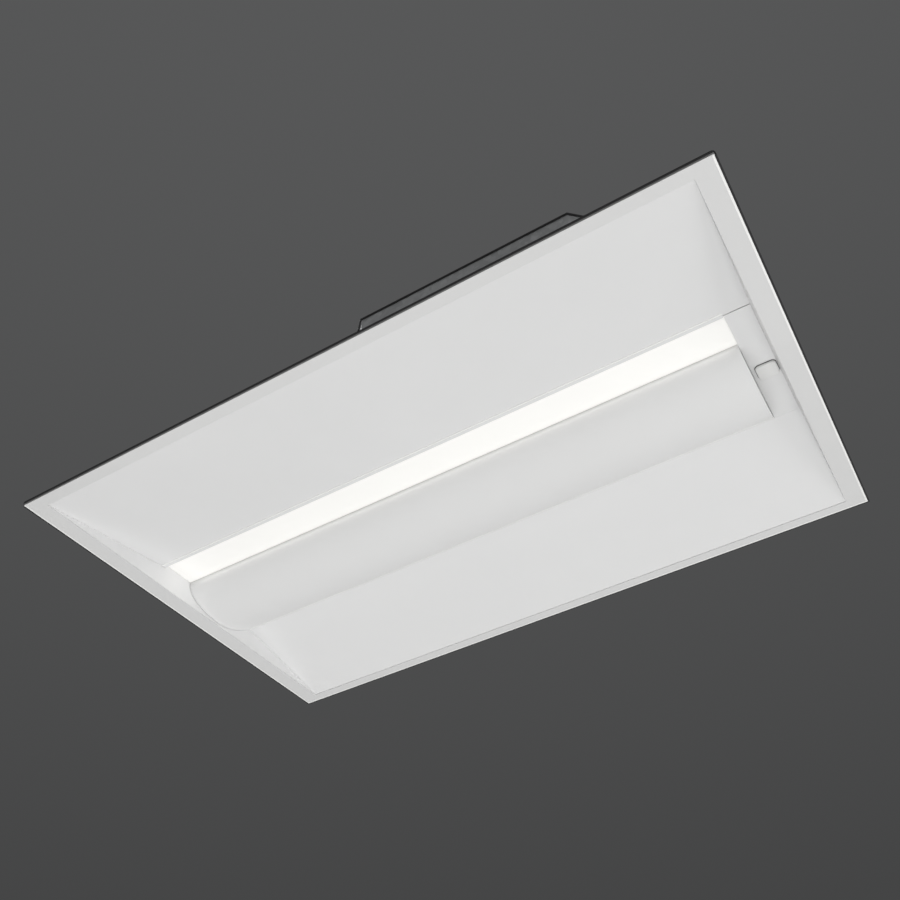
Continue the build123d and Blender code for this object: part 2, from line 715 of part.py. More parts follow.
driver_blocks = {
    "driver_input_block": driver_x + driver_half,
    "driver_output_block": driver_x - driver_half - driver_block_length,
}
for block_name, block_x in driver_blocks.items():
    with BuildPart() as driver_block:
        slab(block_x, block_x + driver_block_length, driver_y - driver_block_width / 2,
             driver_y + driver_block_width / 2, driver_block_z, driver_block_z + driver_block_height)
        fillet(driver_block.edges().filter_by(Axis.Z), radius=driver_block_radius)
    driver_block.part.label = block_name
    export_step(driver_block.part, f"parts/{block_name}.step")


# ---------------------------------------------------------------- junction box on the near wing
def draw_box_plan(inset, z_low, z_high, mode=Mode.ADD):
    """Plan of the junction box with its two near corners cut off, drawn inset from its outside."""
    corner = box_corner_cut + inset * (2 ** 0.5 - 2)
    left = box_left_x + inset
    right = box_right_x - inset
    near = box_near_y + inset
    far = box_far_y - inset
    with BuildSketch(Plane.XY.offset(z_low)) as plan:
        Polygon((left + corner, near), (right - corner, near), (right, near + corner),
                (right, far), (left, far), (left, near + corner), align=None)
    extrude(plan.sketch, amount=z_high - z_low, mode=mode)


slot_half = raceway_width / 2 - raceway_sheet
lid_screw_y = box_near_y + lid_screw_inset
with BuildPart() as junction_box:
    draw_box_plan(0, 0, box_top_z)
    draw_box_plan(box_sheet, box_floor_z, box_top_z, mode=Mode.SUBTRACT)
    draw_box_plan(box_sheet, 0, box_floor_z - box_sheet, mode=Mode.SUBTRACT)
    with BuildSketch(Plane.YZ.offset(box_left_x)):
        Polygon((box_near_y - cut_over, -cut_over), (box_far_y + cut_over, -cut_over),
                (box_far_y + cut_over, wing_top(box_far_y + cut_over)),
                (box_near_y - cut_over, wing_top(box_near_y - cut_over)), align=None)
    extrude(amount=box_right_x - box_left_x, mode=Mode.SUBTRACT)
    slab(terminal_x - slot_half, terminal_x + slot_half, box_far_y - box_sheet - cut_over,
         box_far_y + cut_over, box_slot_low_z, box_slot_low_z + box_slot_height, mode=Mode.SUBTRACT)
    rod_x(box_right_x - box_sheet - cut_over, box_right_x + cut_over, entry_y, entry_z, entry_radius,
          mode=Mode.SUBTRACT)
    slab(box_mid_x - lid_screw_inset, box_mid_x + lid_screw_inset, box_near_y, lid_screw_y + lid_screw_inset,
         box_top_z - box_sheet, box_top_z)
    rod_z(box_mid_x, lid_screw_y, box_top_z - box_sheet - cut_over, box_top_z + cut_over,
          lid_screw_radius + screw_hole_clearance, mode=Mode.SUBTRACT)
    for x in (box_left_x + lid_hinge_inset, box_right_x - lid_hinge_inset):
        for low in (x - lid_knuckle_length / 2 - knuckle_gap - lid_side_knuckle_length,
                    x + lid_knuckle_length / 2 + knuckle_gap):
            high = low + lid_side_knuckle_length
            rod_x(low, high, lid_hinge_y, box_top_z, lid_knuckle_radius)
            slab(low, high, box_far_y - box_sheet, lid_hinge_y, box_top_z - lid_knuckle_radius, box_top_z)
            rod_x(low, high, lid_hinge_y, box_top_z, lid_pin_radius + running_clearance, mode=Mode.SUBTRACT)
junction_box.part.label = "junction_box"
export_step(junction_box.part, "parts/junction_box.step")

lid_face_z = box_top_z + box_sheet
with BuildPart() as junction_box_lid:
    draw_box_plan(-lid_overhang, box_top_z, lid_face_z)
    for x in (box_left_x + lid_hinge_inset, box_right_x - lid_hinge_inset):
        reach = lid_knuckle_length / 2 + 2 * knuckle_gap + lid_side_knuckle_length
        rod_x(x - reach, x + reach, lid_hinge_y, box_top_z, lid_knuckle_radius + knuckle_relief,
              mode=Mode.SUBTRACT)
        low = x - lid_knuckle_length / 2
        high = x + lid_knuckle_length / 2
        rod_x(low, high, lid_hinge_y, box_top_z, lid_knuckle_radius)
        slab(low, high, box_far_y - lid_tab_depth, lid_hinge_y, box_top_z, box_top_z + box_sheet)
        rod_x(low, high, lid_hinge_y, box_top_z, lid_pin_radius + running_clearance, mode=Mode.SUBTRACT)
    rod_z(box_mid_x, lid_screw_y, box_top_z - cut_over, box_top_z + box_sheet + cut_over,
          lid_screw_radius, mode=Mode.SUBTRACT)
junction_box_lid.part.label = "junction_box_lid"
export_step(junction_box_lid.part, "parts/junction_box_lid.step")

with BuildPart() as lid_hinge_pins:
    for x in (box_left_x + lid_hinge_inset, box_right_x - lid_hinge_inset):
        reach = lid_knuckle_length / 2 + knuckle_gap + lid_side_knuckle_length + pin_end_length
        rod_x(x - reach, x + reach, lid_hinge_y, box_top_z, lid_pin_radius)
lid_hinge_pins.part.label = "lid_hinge_pins"
export_step(lid_hinge_pins.part, "parts/lid_hinge_pins.step")

with BuildPart() as lid_seal:
    draw_box_plan(-(lid_overhang + lid_seal_wall), box_top_z - lid_seal_drop, lid_face_z + lid_seal_top)
    draw_box_plan(-lid_overhang, box_top_z - lid_seal_drop, lid_face_z, mode=Mode.SUBTRACT)
    draw_box_plan(lid_seal_lap, lid_face_z, lid_face_z + lid_seal_top, mode=Mode.SUBTRACT)
    slab(box_left_x - box_corner_cut, box_right_x + box_corner_cut, box_far_y - lid_seal_end_gap,
         box_far_y + box_corner_cut, box_top_z - lid_seal_drop - cut_over,
         lid_face_z + lid_seal_top + cut_over, mode=Mode.SUBTRACT)
lid_seal.part.label = "lid_seal"
export_step(lid_seal.part, "parts/lid_seal.step")

with BuildPart() as lid_screw:
    rod_z(box_mid_x, lid_screw_y, lid_face_z - lid_screw_length, lid_face_z, lid_screw_radius)
    rod_z(box_mid_x, lid_screw_y, lid_face_z, lid_face_z + lid_screw_head_height, lid_screw_head_radius)
    slab(box_mid_x - lid_screw_head_radius, box_mid_x + lid_screw_head_radius,
         lid_screw_y - screw_slot_width / 2, lid_screw_y + screw_slot_width / 2,
         lid_face_z + lid_screw_head_height - screw_slot_depth,
         lid_face_z + lid_screw_head_height, mode=Mode.SUBTRACT)
lid_screw.part.label = "lid_screw"
export_step(lid_screw.part, "parts/lid_screw.step")

with BuildPart() as cable_bushing:
    inside_x = box_right_x - box_sheet - bushing_lip
    outside_x = box_right_x + bushing_lip
    rod_x(inside_x, box_right_x - box_sheet, entry_y, entry_z, bushing_radius)
    rod_x(box_right_x, outside_x, entry_y, entry_z, bushing_radius)
    rod_x(inside_x, outside_x, entry_y, entry_z, entry_radius - bushing_fit)
    rod_x(inside_x, outside_x, entry_y, entry_z, entry_radius - bushing_wall, mode=Mode.SUBTRACT)
cable_bushing.part.label = "cable_bushing"
export_step(cable_bushing.part, "parts/cable_bushing.step")

# ---------------------------------------------------------------- terminal block and its levers
lever_names = ("lever_live", "lever_neutral", "lever_earth")
lever_xs = [terminal_x + lever_pitch * (i - 1) for i in range(3)]
pivot_y = terminal_y + terminal_depth / 2 - lever_pivot_inset
pivot_z = terminal_top_z - lever_thickness / 2 - lever_drop
slot_depth = lever_thickness + lever_slot_spare
with BuildPart() as terminal_block:
    slab(terminal_x - terminal_length / 2, terminal_x + terminal_length / 2,
         terminal_y - terminal_depth / 2, terminal_y + terminal_depth / 2, box_floor_z, terminal_top_z)
    for x in lever_xs:
        half = lever_width / 2 + lever_side_gap
        slab(x - half, x + half, terminal_y - terminal_depth / 2 - cut_over,
             terminal_y + terminal_depth / 2 + cut_over,
             terminal_top_z - slot_depth, terminal_top_z + cut_over, mode=Mode.SUBTRACT)
        pin_reach = lever_width / 2 + lever_pin_length + lever_side_gap
        rod_x(x - pin_reach, x + pin_reach, pivot_y, pivot_z, lever_pin_radius + running_clearance,
              mode=Mode.SUBTRACT)
terminal_block.part.label = "terminal_block"
export_step(terminal_block.part, "parts/terminal_block.step")

for lever_name, x in zip(lever_names, lever_xs):
    with BuildPart() as lever:
        with BuildSketch(Plane.YZ.offset(x - lever_width / 2)):
            with Locations((pivot_y, pivot_z)):
                Circle(lever_thickness / 2)
            with Locations((pivot_y - lever_length / 2, pivot_z)):
                Rectangle(lever_length, lever_thickness)
        extrude(amount=lever_width)
        rod_x(x - lever_width / 2 - lever_pin_length, x + lever_width / 2 + lever_pin_length,
              pivot_y, pivot_z, lever_pin_radius)
    lever.part.label = lever_name
    export_step(lever.part, f"parts/{lever_name}.step")

# ---------------------------------------------------------------- raceway between box and channel
raceway_low = box_far_y
raceway_high = near_channel_y
roof_box_z = wing_top(raceway_low) + raceway_box_rise
with BuildPart() as wire_raceway:
    with BuildSketch(Plane.YZ.offset(terminal_x - raceway_width / 2)):
        Polygon((raceway_low, wing_top(raceway_low)), (raceway_high, wing_top(raceway_high)),
                (raceway_high, raceway_roof_z), (raceway_low, roof_box_z), align=None)
    extrude(amount=raceway_width)
    with BuildSketch(Plane.YZ.offset(terminal_x - slot_half)):
        Polygon((raceway_low - cut_over, wing_top(raceway_low) - cut_over),
                (raceway_high + cut_over, wing_top(raceway_high) - cut_over),
                (raceway_high + cut_over, raceway_roof_z - raceway_sheet),
                (raceway_high, raceway_roof_z - raceway_sheet),
                (raceway_low, roof_box_z - raceway_sheet),
                (raceway_low - cut_over, roof_box_z - raceway_sheet), align=None)
    extrude(amount=2 * slot_half, mode=Mode.SUBTRACT)
wire_raceway.part.label = "wire_raceway"
export_step(wire_raceway.part, "parts/wire_raceway.step")


# ---------------------------------------------------------------- internal leads
def lead_radii(points):
    """Largest bend at each corner of a route that its two straight runs leave room for."""
    radii = []
    for before, corner, after in zip(points, points[1:], points[2:]):
        run_in = Vector(corner) - Vector(before)
        run_out = Vector(after) - Vector(corner)
        turn = radians(run_in.get_angle(run_out))
        radii.append(0.45 * min(run_in.length, run_out.length) / tan(turn / 2))
    return radii


def draw_lead(points):
    """A round insulated lead along a route of straight runs and tangent arcs."""
    radii = lead_radii(points)
    print("lead radii", [round(radius, 1) for radius in radii])
    with BuildLine() as route:
        FilletPolyline(*points, radius=radii)
    with BuildSketch(Plane(origin=route.line @ 0, z_dir=route.line % 0)) as section:
        Circle(lead_radius)
    sweep(section.sketch, path=route.line)


leads_face_y = terminal_y + terminal_depth / 2
input_face_x = driver_x + driver_half + driver_block_length
lead_z = driver_block_z + driver_block_height / 2
over_tray_z = tray_top_z + wire_space / 2
for lead_name, offset, end_y in (("supply_lead_live", -lead_spacing / 2, driver_y - 8.0),
                                 ("supply_lead_neutral", lead_spacing / 2, driver_y + 2.0)):
    with BuildPart() as supply_lead:
        draw_lead([
            (terminal_x + offset, leads_face_y, box_floor_z + 5.0),
            (terminal_x + offset, leads_face_y + 34.0, box_floor_z + 5.0),
            (terminal_x + offset - 1.0, leads_face_y + 78.0, box_floor_z + 17.0),
            (terminal_x + offset - 2.0, near_channel_y - 12.0, over_tray_z - 1.5),
            (terminal_x + offset - 8.0, tray_mid_y + 6.0, over_tray_z),
            (terminal_x + offset - 34.0, driver_y - 52.0, over_tray_z - 1.0),
            (terminal_x + offset - 70.0, end_y - 6.0, lead_z + 3.0),
            (input_face_x + 34.0 + offset, end_y, lead_z),
            (input_face_x, end_y, lead_z),
        ])
    supply_lead.part.label = lead_name
    export_step(supply_lead.part, f"parts/{lead_name}.step")

output_face_x = driver_x - driver_half - driver_block_length
connector_face_x = connector_x - connector_size / 2
with BuildPart() as led_leads:
    draw_lead([
        (output_face_x, driver_y - 6.0, lead_z),
        (output_face_x - 24.0, driver_y - 6.0, lead_z),
        (output_face_x - 44.0, driver_y - 28.0, over_tray_z - 3.0),
        (output_face_x - 34.0, tray_mid_y + 32.0, over_tray_z),
        (output_face_x + 6.0, tray_mid_y + 7.0, over_tray_z + 0.2),
        (output_face_x + 60.0, tray_mid_y + 2.6, over_tray_z),
        (connector_face_x, tray_mid_y + 2.6, over_tray_z),
    ])
    draw_lead([
        (output_face_x, driver_y + 4.0, lead_z),
        (output_face_x - 32.0, driver_y + 4.0, lead_z),
        (output_face_x - 57.0, driver_y - 28.0, over_tray_z - 3.0),
        (output_face_x - 46.0, tray_mid_y + 26.0, over_tray_z),
        (output_face_x + 4.0, tray_mid_y + 1.0, over_tray_z + 0.2),
        (output_face_x + 60.0, tray_mid_y - 2.6, over_tray_z),
        (connector_face_x, tray_mid_y - 2.6, over_tray_z),
    ])
led_leads.part.label = "led_leads"
export_step(led_leads.part, "parts/led_leads.step")

sensor_face_x = sensor_x - sensor_module_length / 2
sensor_run_y = far_wing_edge_y - sensor_run_inset
sensor_run_z = housing_inner_z - sensor_run_drop
sensor_run_start = input_face_x + sensor_run_start_gap
sensor_run_end = sensor_face_x - sensor_run_end_gap
with BuildPart() as sensor_lead:
    draw_lead([
        (input_face_x, driver_y + sensor_lead_offset, lead_z),
        (input_face_x + 30.0, driver_y + sensor_lead_offset, lead_z),
        (sensor_run_start, sensor_run_y, sensor_run_z),
        (sensor_run_end, sensor_run_y, sensor_run_z),
        (sensor_face_x - 26.0, sensor_y + 4.0, module_z + sensor_lead_rise),
        (sensor_face_x, sensor_y + 4.0, module_z + sensor_lead_rise),
    ])
sensor_lead.part.label = "sensor_lead"
export_step(sensor_lead.part, "parts/sensor_lead.step")

with BuildPart() as wire_clips:
    for share in (0.35, 0.65):
        x = sensor_run_start + share * (sensor_run_end - sensor_run_start)
        half = wire_clip_length / 2
        slab(x - half, x + half, sensor_run_y - half, sensor_run_y + half,
             sensor_run_z - wire_clip_floor, housing_inner_z)
        rod_x(x - half - cut_over, x + half + cut_over, sensor_run_y, sensor_run_z,
              lead_radius + wire_clip_clearance, mode=Mode.SUBTRACT)
wire_clips.part.label = "wire_clips"
export_step(wire_clips.part, "parts/wire_clips.step")

# ---------------------------------------------------------------- grid clips
clip_z = clip_ear_z + clip_ear_sheet
clip_places = {
    "grid_clip_left_near": (-1, -1), "grid_clip_left_far": (-1, 1),
    "grid_clip_right_near": (1, -1), "grid_clip_right_far": (1, 1),
}
for clip_name, (side_x, side_y) in clip_places.items():
    pivot_at = (side_x * clip_pivot_x, side_y * clip_pivot_y)
    heel = clip_width / 2
    tip_y = sorted((pivot_at[1] + side_y * (clip_length - heel - clip_sheet),
                    pivot_at[1] + side_y * (clip_length - heel)))
    with BuildPart() as grid_clip:
        with BuildSketch(Plane.XY.offset(clip_z)):
            with Locations((pivot_at[0], pivot_at[1] + side_y * (clip_length - heel) / 2)):
                Rectangle(clip_width, clip_length - heel)
            with Locations(pivot_at):
                Circle(heel)
        extrude(amount=clip_sheet)
        slab(pivot_at[0] - clip_width / 2, pivot_at[0] + clip_width / 2, tip_y[0], tip_y[1],
             clip_z, clip_z + clip_tip_height)
        rod_z(pivot_at[0], pivot_at[1], clip_z - cut_over, clip_z + clip_sheet + cut_over,
              clip_rivet_radius + running_clearance, mode=Mode.SUBTRACT)
    grid_clip.part.label = clip_name
    export_step(grid_clip.part, f"parts/{clip_name}.step")

with BuildPart() as grid_clip_rivets:
    for side_x, side_y in clip_places.values():
        pivot_at = (side_x * clip_pivot_x, side_y * clip_pivot_y)
        rod_z(pivot_at[0], pivot_at[1], clip_ear_z, clip_z + clip_sheet, clip_rivet_radius)
        rod_z(pivot_at[0], pivot_at[1], clip_ear_z - clip_rivet_head_height, clip_ear_z,
              clip_rivet_head_radius)
        rod_z(pivot_at[0], pivot_at[1], clip_z + clip_sheet,
              clip_z + clip_sheet + clip_rivet_head_height, clip_rivet_head_radius)
grid_clip_rivets.part.label = "grid_clip_rivets"
export_step(grid_clip_rivets.part, "parts/grid_clip_rivets.step")

# ---------------------------------------------------------------- hanger brackets
hanger_x = cavity_half_x - hanger_end_inset
hanger_near_y = near_channel_y + hanger_side_inset
hanger_far_y = far_channel_y - hanger_side_inset
hanger_places = {
    "hanger_bracket_left_near": (-hanger_x, hanger_near_y),
    "hanger_bracket_left_far": (-hanger_x, hanger_far_y),
    "hanger_bracket_right_near": (hanger_x, hanger_near_y),
    "hanger_bracket_right_far": (hanger_x, hanger_far_y),
}
for hanger_name, (x, y) in hanger_places.items():
    with BuildPart() as hanger_bracket:
        slab(x - hanger_width / 2, x + hanger_width / 2, y - hanger_foot / 2, y + hanger_foot / 2,
             housing_height, housing_height + hanger_sheet)
        slab(x - hanger_width / 2, x + hanger_width / 2, y - hanger_sheet / 2, y + hanger_sheet / 2,
             housing_height, housing_height + hanger_height)
        fillet(hanger_bracket.edges().filter_by(Axis.Y).group_by(Axis.Z)[-1], radius=hanger_corner_radius)
        with BuildSketch(Plane.XZ.offset(-y)):
            with Locations((x, housing_height + hanger_hole_z)):
                Circle(hanger_hole_radius)
        extrude(amount=hanger_sheet, both=True, mode=Mode.SUBTRACT)
    hanger_bracket.part.label = hanger_name
    export_step(hanger_bracket.part, f"parts/{hanger_name}.step")

# ---------------------------------------------------------------- rivets and earth screw
with BuildPart() as housing_rivets:
    for channel_face, head_side in ((near_channel_y, -1), (far_channel_y, 1)):
        for i in range(rivet_count):
            x = rivet_pitch * (i - (rivet_count - 1) / 2)
            with BuildSketch(Plane.XZ.offset(-channel_face)):
                with Locations((x, rivet_z)):
                    Circle(rivet_head_radius)
            extrude(amount=-head_side * rivet_head_height)
housing_rivets.part.label = "housing_rivets"
export_step(housing_rivets.part, "parts/housing_rivets.step")

ground_screw_x = terminal_x - ground_screw_offset
lug_top_z = box_floor_z + lug_sheet
ground_screw_top_z = lug_top_z + ground_screw_height
with BuildPart() as ground_screw:
    rod_z(ground_screw_x, terminal_y, box_floor_z, lug_top_z, ground_screw_radius)
    rod_z(ground_screw_x, terminal_y, lug_top_z, ground_screw_top_z, ground_screw_head_radius)
    slab(ground_screw_x - ground_screw_head_radius, ground_screw_x + ground_screw_head_radius,
         terminal_y - screw_slot_width / 2, terminal_y + screw_slot_width / 2,
         ground_screw_top_z - screw_slot_depth, ground_screw_top_z, mode=Mode.SUBTRACT)
ground_screw.part.label = "ground_screw"
export_step(ground_screw.part, "parts/ground_screw.step")

barrel_z = box_floor_z + lug_barrel_radius
barrel_x = ground_screw_x + lug_radius - lug_sheet
barrel_end_x = barrel_x + lug_barrel_length
with BuildPart() as ground_lug:
    rod_z(ground_screw_x, terminal_y, box_floor_z, lug_top_z, lug_radius)
    rod_x(barrel_x, barrel_end_x, terminal_y, barrel_z, lug_barrel_radius)
    rod_z(ground_screw_x, terminal_y, box_floor_z - cut_over, ground_screw_top_z + cut_over,
          ground_screw_radius + lug_clearance, mode=Mode.SUBTRACT)
    rod_z(ground_screw_x, terminal_y, lug_top_z, ground_screw_top_z + cut_over,
          ground_screw_head_radius + lug_clearance, mode=Mode.SUBTRACT)
ground_lug.part.label = "ground_lug"
export_step(ground_lug.part, "parts/ground_lug.step")

terminal_side_x = terminal_x - terminal_length / 2
with BuildPart() as ground_lead:
    draw_lead([
        (barrel_end_x, terminal_y, barrel_z),
        (barrel_end_x + 6.0, terminal_y, barrel_z),
        (barrel_end_x + 13.0, terminal_y - 4.0, barrel_z + 1.6),
        (terminal_side_x - 8.0, terminal_y - 5.0, barrel_z + 3.4),
        (terminal_side_x, terminal_y - 5.0, barrel_z + 3.4),
    ])
ground_lead.part.label = "ground_lead"
export_step(ground_lead.part, "parts/ground_lead.step")
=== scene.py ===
"""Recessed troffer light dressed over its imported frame: sheet work, finishes, studio and camera.

Forms are drawn in millimetres and placed in metres. +X runs along the light, +Y from the lens side
to the hinge side of the reflector, and +Z up into the ceiling.
"""
import logging
import math
from dataclasses import dataclass, field
from enum import Enum
from functools import cache
from typing import Callable, Sequence

import bmesh
import bpy
from mathutils import Matrix, Vector


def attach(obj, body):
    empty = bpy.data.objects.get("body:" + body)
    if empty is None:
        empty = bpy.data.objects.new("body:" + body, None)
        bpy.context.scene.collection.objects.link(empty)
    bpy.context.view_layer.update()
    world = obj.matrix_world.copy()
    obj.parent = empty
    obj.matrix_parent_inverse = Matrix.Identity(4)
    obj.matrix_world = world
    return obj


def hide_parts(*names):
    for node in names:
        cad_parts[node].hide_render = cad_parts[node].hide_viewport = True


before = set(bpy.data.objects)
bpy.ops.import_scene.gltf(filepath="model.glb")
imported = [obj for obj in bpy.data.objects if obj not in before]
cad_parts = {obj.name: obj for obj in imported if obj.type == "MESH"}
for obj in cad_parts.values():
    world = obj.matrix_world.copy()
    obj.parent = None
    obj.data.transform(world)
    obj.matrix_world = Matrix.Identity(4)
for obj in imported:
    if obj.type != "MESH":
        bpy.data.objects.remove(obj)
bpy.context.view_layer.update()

log = logging.getLogger("troffer")

MM = 0.001
LEAN = math.tan(math.radians(7.0))      # slope of the end walls
HALF_X = 428.5                          # half of the flange's opening along the light
HALF_Y = 285.0                          # half of the flange's opening across it
FLANGE_TOP = 1.0                        # upper face of the flange
NEAR_EDGE = -83.0                       # inner edge of the near wing
FAR_EDGE = 109.0                        # inner edge of the far wing
CHANNEL_NEAR = -84.6                    # outer faces of the housing channel
CHANNEL_FAR = 110.6
HOUSING_TOP = 62.0
LEFT_END = 0.3 - HALF_X                 # where long strips end, just inside the left end wall
SHARP = math.radians(35.0)              # edges that turn by more than this are rounded
ON_LINE = 0.05                          # largest distance of an edge from the line it is looked up by
MERGE = 0.0005                          # vertices closer than this are one
SHORT_OF_ROUND = 0.02                   # keeps a round end's rim from closing on itself
SHEET_EDGE = 0.12                       # width of the rounding on the edges of folded sheet
STRIP_EDGE = 0.15                       # and on those of narrow strips
KNOCKOUTS = (14.2, 11.1)                # radii of a two-stage knockout
EFFECT_RANGE = (0.3, 0.7)               # range in which a noise mostly lies

Colour = tuple[float, float, float]
Place = tuple[float, float, float]
Flat = tuple[float, float]
Vert = bmesh.types.BMVert
Socket = bpy.types.NodeSocket
Tree = bpy.types.NodeTree
Material = bpy.types.Material


class Axis(Enum):
    """Axis that an outline is pushed along: rows of the outline's two coordinates and of the axis."""

    X = (1, 2, 0)
    Y = (0, 2, 1)
    Z = (0, 1, 2)

    def point(self, u: float, v: float, w: float) -> Vector:
        """Give the point at two coordinates in an outline's plane and one along its axis."""
        place = Vector()
        for row, value in zip(self.value, (u, v, w)):
            place[row] = value
        return place


def add_object(name: str, data: bpy.types.ID) -> bpy.types.Object:
    """Put new data into the scene as an object at the origin.

    Args:
        name: Name of the object.
        data: Its mesh, lamp or camera.

    Returns:
        The object.
    """
    thing = bpy.data.objects.new(name, data)
    bpy.context.scene.collection.objects.link(thing)
    return thing


def soften(piece: bpy.types.Object, width: float, strips: int = 2) -> None:
    """Round the sharp edges of a piece and keep its flats flat, with modifiers only.

    Args:
        piece: The piece.
        width: Width of the rounding in millimetres, or 0 for none.
        strips: Number of strips in it.
    """
    if width > 0:
        bevel = piece.modifiers.new("edges", "BEVEL")
        bevel.width = width * MM
        bevel.segments = strips
        bevel.limit_method = "ANGLE"
        bevel.angle_limit = SHARP
    shade = piece.modifiers.new("flats", "WEIGHTED_NORMAL")
    shade.mode = "FACE_AREA"


# ---------------------------------------------------------------- mesh forms
@dataclass(frozen=True)
class Rim:
    """A level rectangle with rounded corners, in millimetres; a circle where the radius is its half."""

    half_x: float
    half_y: float
    z: float
    radius: float
    x: float = 0.0
    y: float = 0.0

    signs = ((-1, -1), (1, -1), (1, 1), (-1, 1))

    def corner(self, a: int, b: int, inset: float) -> Vector:
        """Give the place of one corner, pulled in by an inset along both sides."""
        return Vector((self.x + a * (self.half_x - inset), self.y + b * (self.half_y - inset), self.z))


class Form:
    """A mesh under construction, drawn in millimetres."""

    def __init__(self) -> None:
        """Start with an empty mesh."""
        self.mesh = bmesh.new()

    def arc(self, start: Vert, centre: Vector, degrees: float, steps: int) -> list[Vert]:
        """Spin one vertex round X into an arc of edges.

        Args:
            start: Vertex that the arc leaves.
            centre: Centre of the arc.
            degrees: Angle of the turn.
            steps: Number of edges.

        Returns:
            The new vertices, from the start onwards.
        """
        known = set(self.mesh.verts)
        bmesh.ops.spin(self.mesh, geom=[start], cent=centre, axis=Vector((1, 0, 0)),
                       angle=math.radians(degrees), steps=steps, use_duplicate=False)
        return [vertex for vertex in self.mesh.verts if vertex not in known]

    def push(self, face: bmesh.types.BMFace, step: Vector) -> "Form":
        """Extrude a face by a step into a closed solid."""
        grown = bmesh.ops.extrude_face_region(self.mesh, geom=[face])["geom"]
        moved = [item for item in grown if isinstance(item, Vert)]
        bmesh.ops.translate(self.mesh, verts=moved, vec=step)
        return self

    def fill(self, pairs: Sequence[tuple[Vert, Vert]], depth: float) -> "Form":
        """Close a drawn outline with straight edges and push it along the light.

        Args:
            pairs: Ends of the closing edges.
            depth: Length of the push along X.

        Returns:
            This form.
        """
        for pair in pairs:
            self.mesh.edges.new(pair)
        face = bmesh.ops.contextual_create(self.mesh, geom=self.mesh.edges[:])["faces"][0]
        return self.push(face, Vector((depth, 0, 0)))

    def solid(self, axis: Axis, outline: Sequence[Flat], low: float, high: float) -> "Form":
        """Push an outline, drawn in the plane across an axis, into a solid between two places along it."""
        corners = [self.mesh.verts.new(axis.point(u, v, low)) for u, v in outline]
        return self.push(self.mesh.faces.new(corners), axis.point(0.0, 0.0, high - low))

    def block(self, low: Place, high: Place) -> "Form":
        """Add a rectangular block between two corners."""
        size = Vector(high) - Vector(low)
        middle = (Vector(high) + Vector(low)) / 2
        seat = Matrix.Translation(middle) @ Matrix.Diagonal((*size, 1.0))
        bmesh.ops.create_cube(self.mesh, size=1.0, matrix=seat)
        return self

    def drum(self, axis: Axis, centre: Flat, low: float, high: float, radius: float,
             steps: int = 32) -> "Form":
        """Add a round bar.

        Args:
            axis: Axis of the bar.
            centre: Its centre in the plane across the axis.
            low: Where it starts along the axis.
            high: Where it ends.
            radius: Its radius.
            steps: Number of sides.

        Returns:
            This form.
        """
        turn = Vector((0, 0, 1)).rotation_difference(axis.point(0.0, 0.0, 1.0)).to_matrix().to_4x4()
        seat = Matrix.Translation(axis.point(*centre, (low + high) / 2)) @ turn
        bmesh.ops.create_cone(self.mesh, cap_ends=True, segments=steps, radius1=radius, radius2=radius,
                              depth=high - low, matrix=seat)
        return self

    def ring(self, rims: Sequence[Rim], steps: int = 5, closed: bool = True) -> "Form":
        """Extrude one rounded rectangle through a row of rims, as a ring or as a capped body.

        Args:
            rims: The rounded rectangles, in order; one whose corners are as large as itself is round.
            steps: Edges in each corner.
            closed: Whether the last rim joins the first; otherwise the first and last are capped.

        Returns:
            This form.
        """
        known = set(self.mesh.edges)
        layer = self.mesh.verts.layers.int.get("corner") or self.mesh.verts.layers.int.new("corner")
        start = rims[0]
        corners = [self.mesh.verts.new(start.corner(a, b, 0.0)) for a, b in Rim.signs]
        self.mesh.faces.new(corners)
        bmesh.ops.bevel(self.mesh, geom=corners, offset=start.radius, offset_type="OFFSET", segments=steps,
                        profile=0.5, affect="VERTICES", material=-1)
        edges = [edge for edge in self.mesh.edges if edge not in known]
        face = edges[0].link_faces[0]
        for vertex in face.verts:
            side = (1 if vertex.co.x > start.x else -1, 1 if vertex.co.y > start.y else -1)
            vertex[layer] = Rim.signs.index(side)
        if closed:
            bmesh.ops.delete(self.mesh, geom=[face], context="FACES_ONLY")
        made = [vertex for edge in edges for vertex in edge.verts]
        before = start
        for after in [*rims[1:], start] if closed else rims[1:]:
            grown = bmesh.ops.extrude_edge_only(self.mesh, edges=edges)["geom"]
            fresh = [item for item in grown if isinstance(item, Vert)]
            scale = after.radius / before.radius
            for index, (a, b) in enumerate(Rim.signs):
                move = Matrix.Translation(after.corner(a, b, after.radius)) \
                    @ Matrix.Diagonal((scale, scale, 1.0, 1.0)) \
                    @ Matrix.Translation(-before.corner(a, b, before.radius))
                bmesh.ops.transform(self.mesh, matrix=move, verts=[v for v in fresh if v[layer] == index])
            ends = set(fresh)
            edges = list(dict.fromkeys(edge for vertex in fresh for edge in vertex.link_edges
                                       if ends.issuperset(edge.verts)))
            made += fresh
            before = after
        if not closed:
            bmesh.ops.contextual_create(self.mesh, geom=edges)
        bmesh.ops.remove_doubles(self.mesh, verts=list(dict.fromkeys(made)), dist=MERGE)
        return self

    def dome(self, half: Flat, radius: float, base: float, rows: Sequence[Flat], centre: Flat, steps: int,
             closed: bool = False) -> "Form":
        """Add a ring on one rounded rectangle, whose rows give each rim's inset and height over the base."""
        return self.ring([Rim(half[0] - inset, half[1] - inset, base + height, radius - inset, *centre)
                          for inset, height in rows], steps, closed)

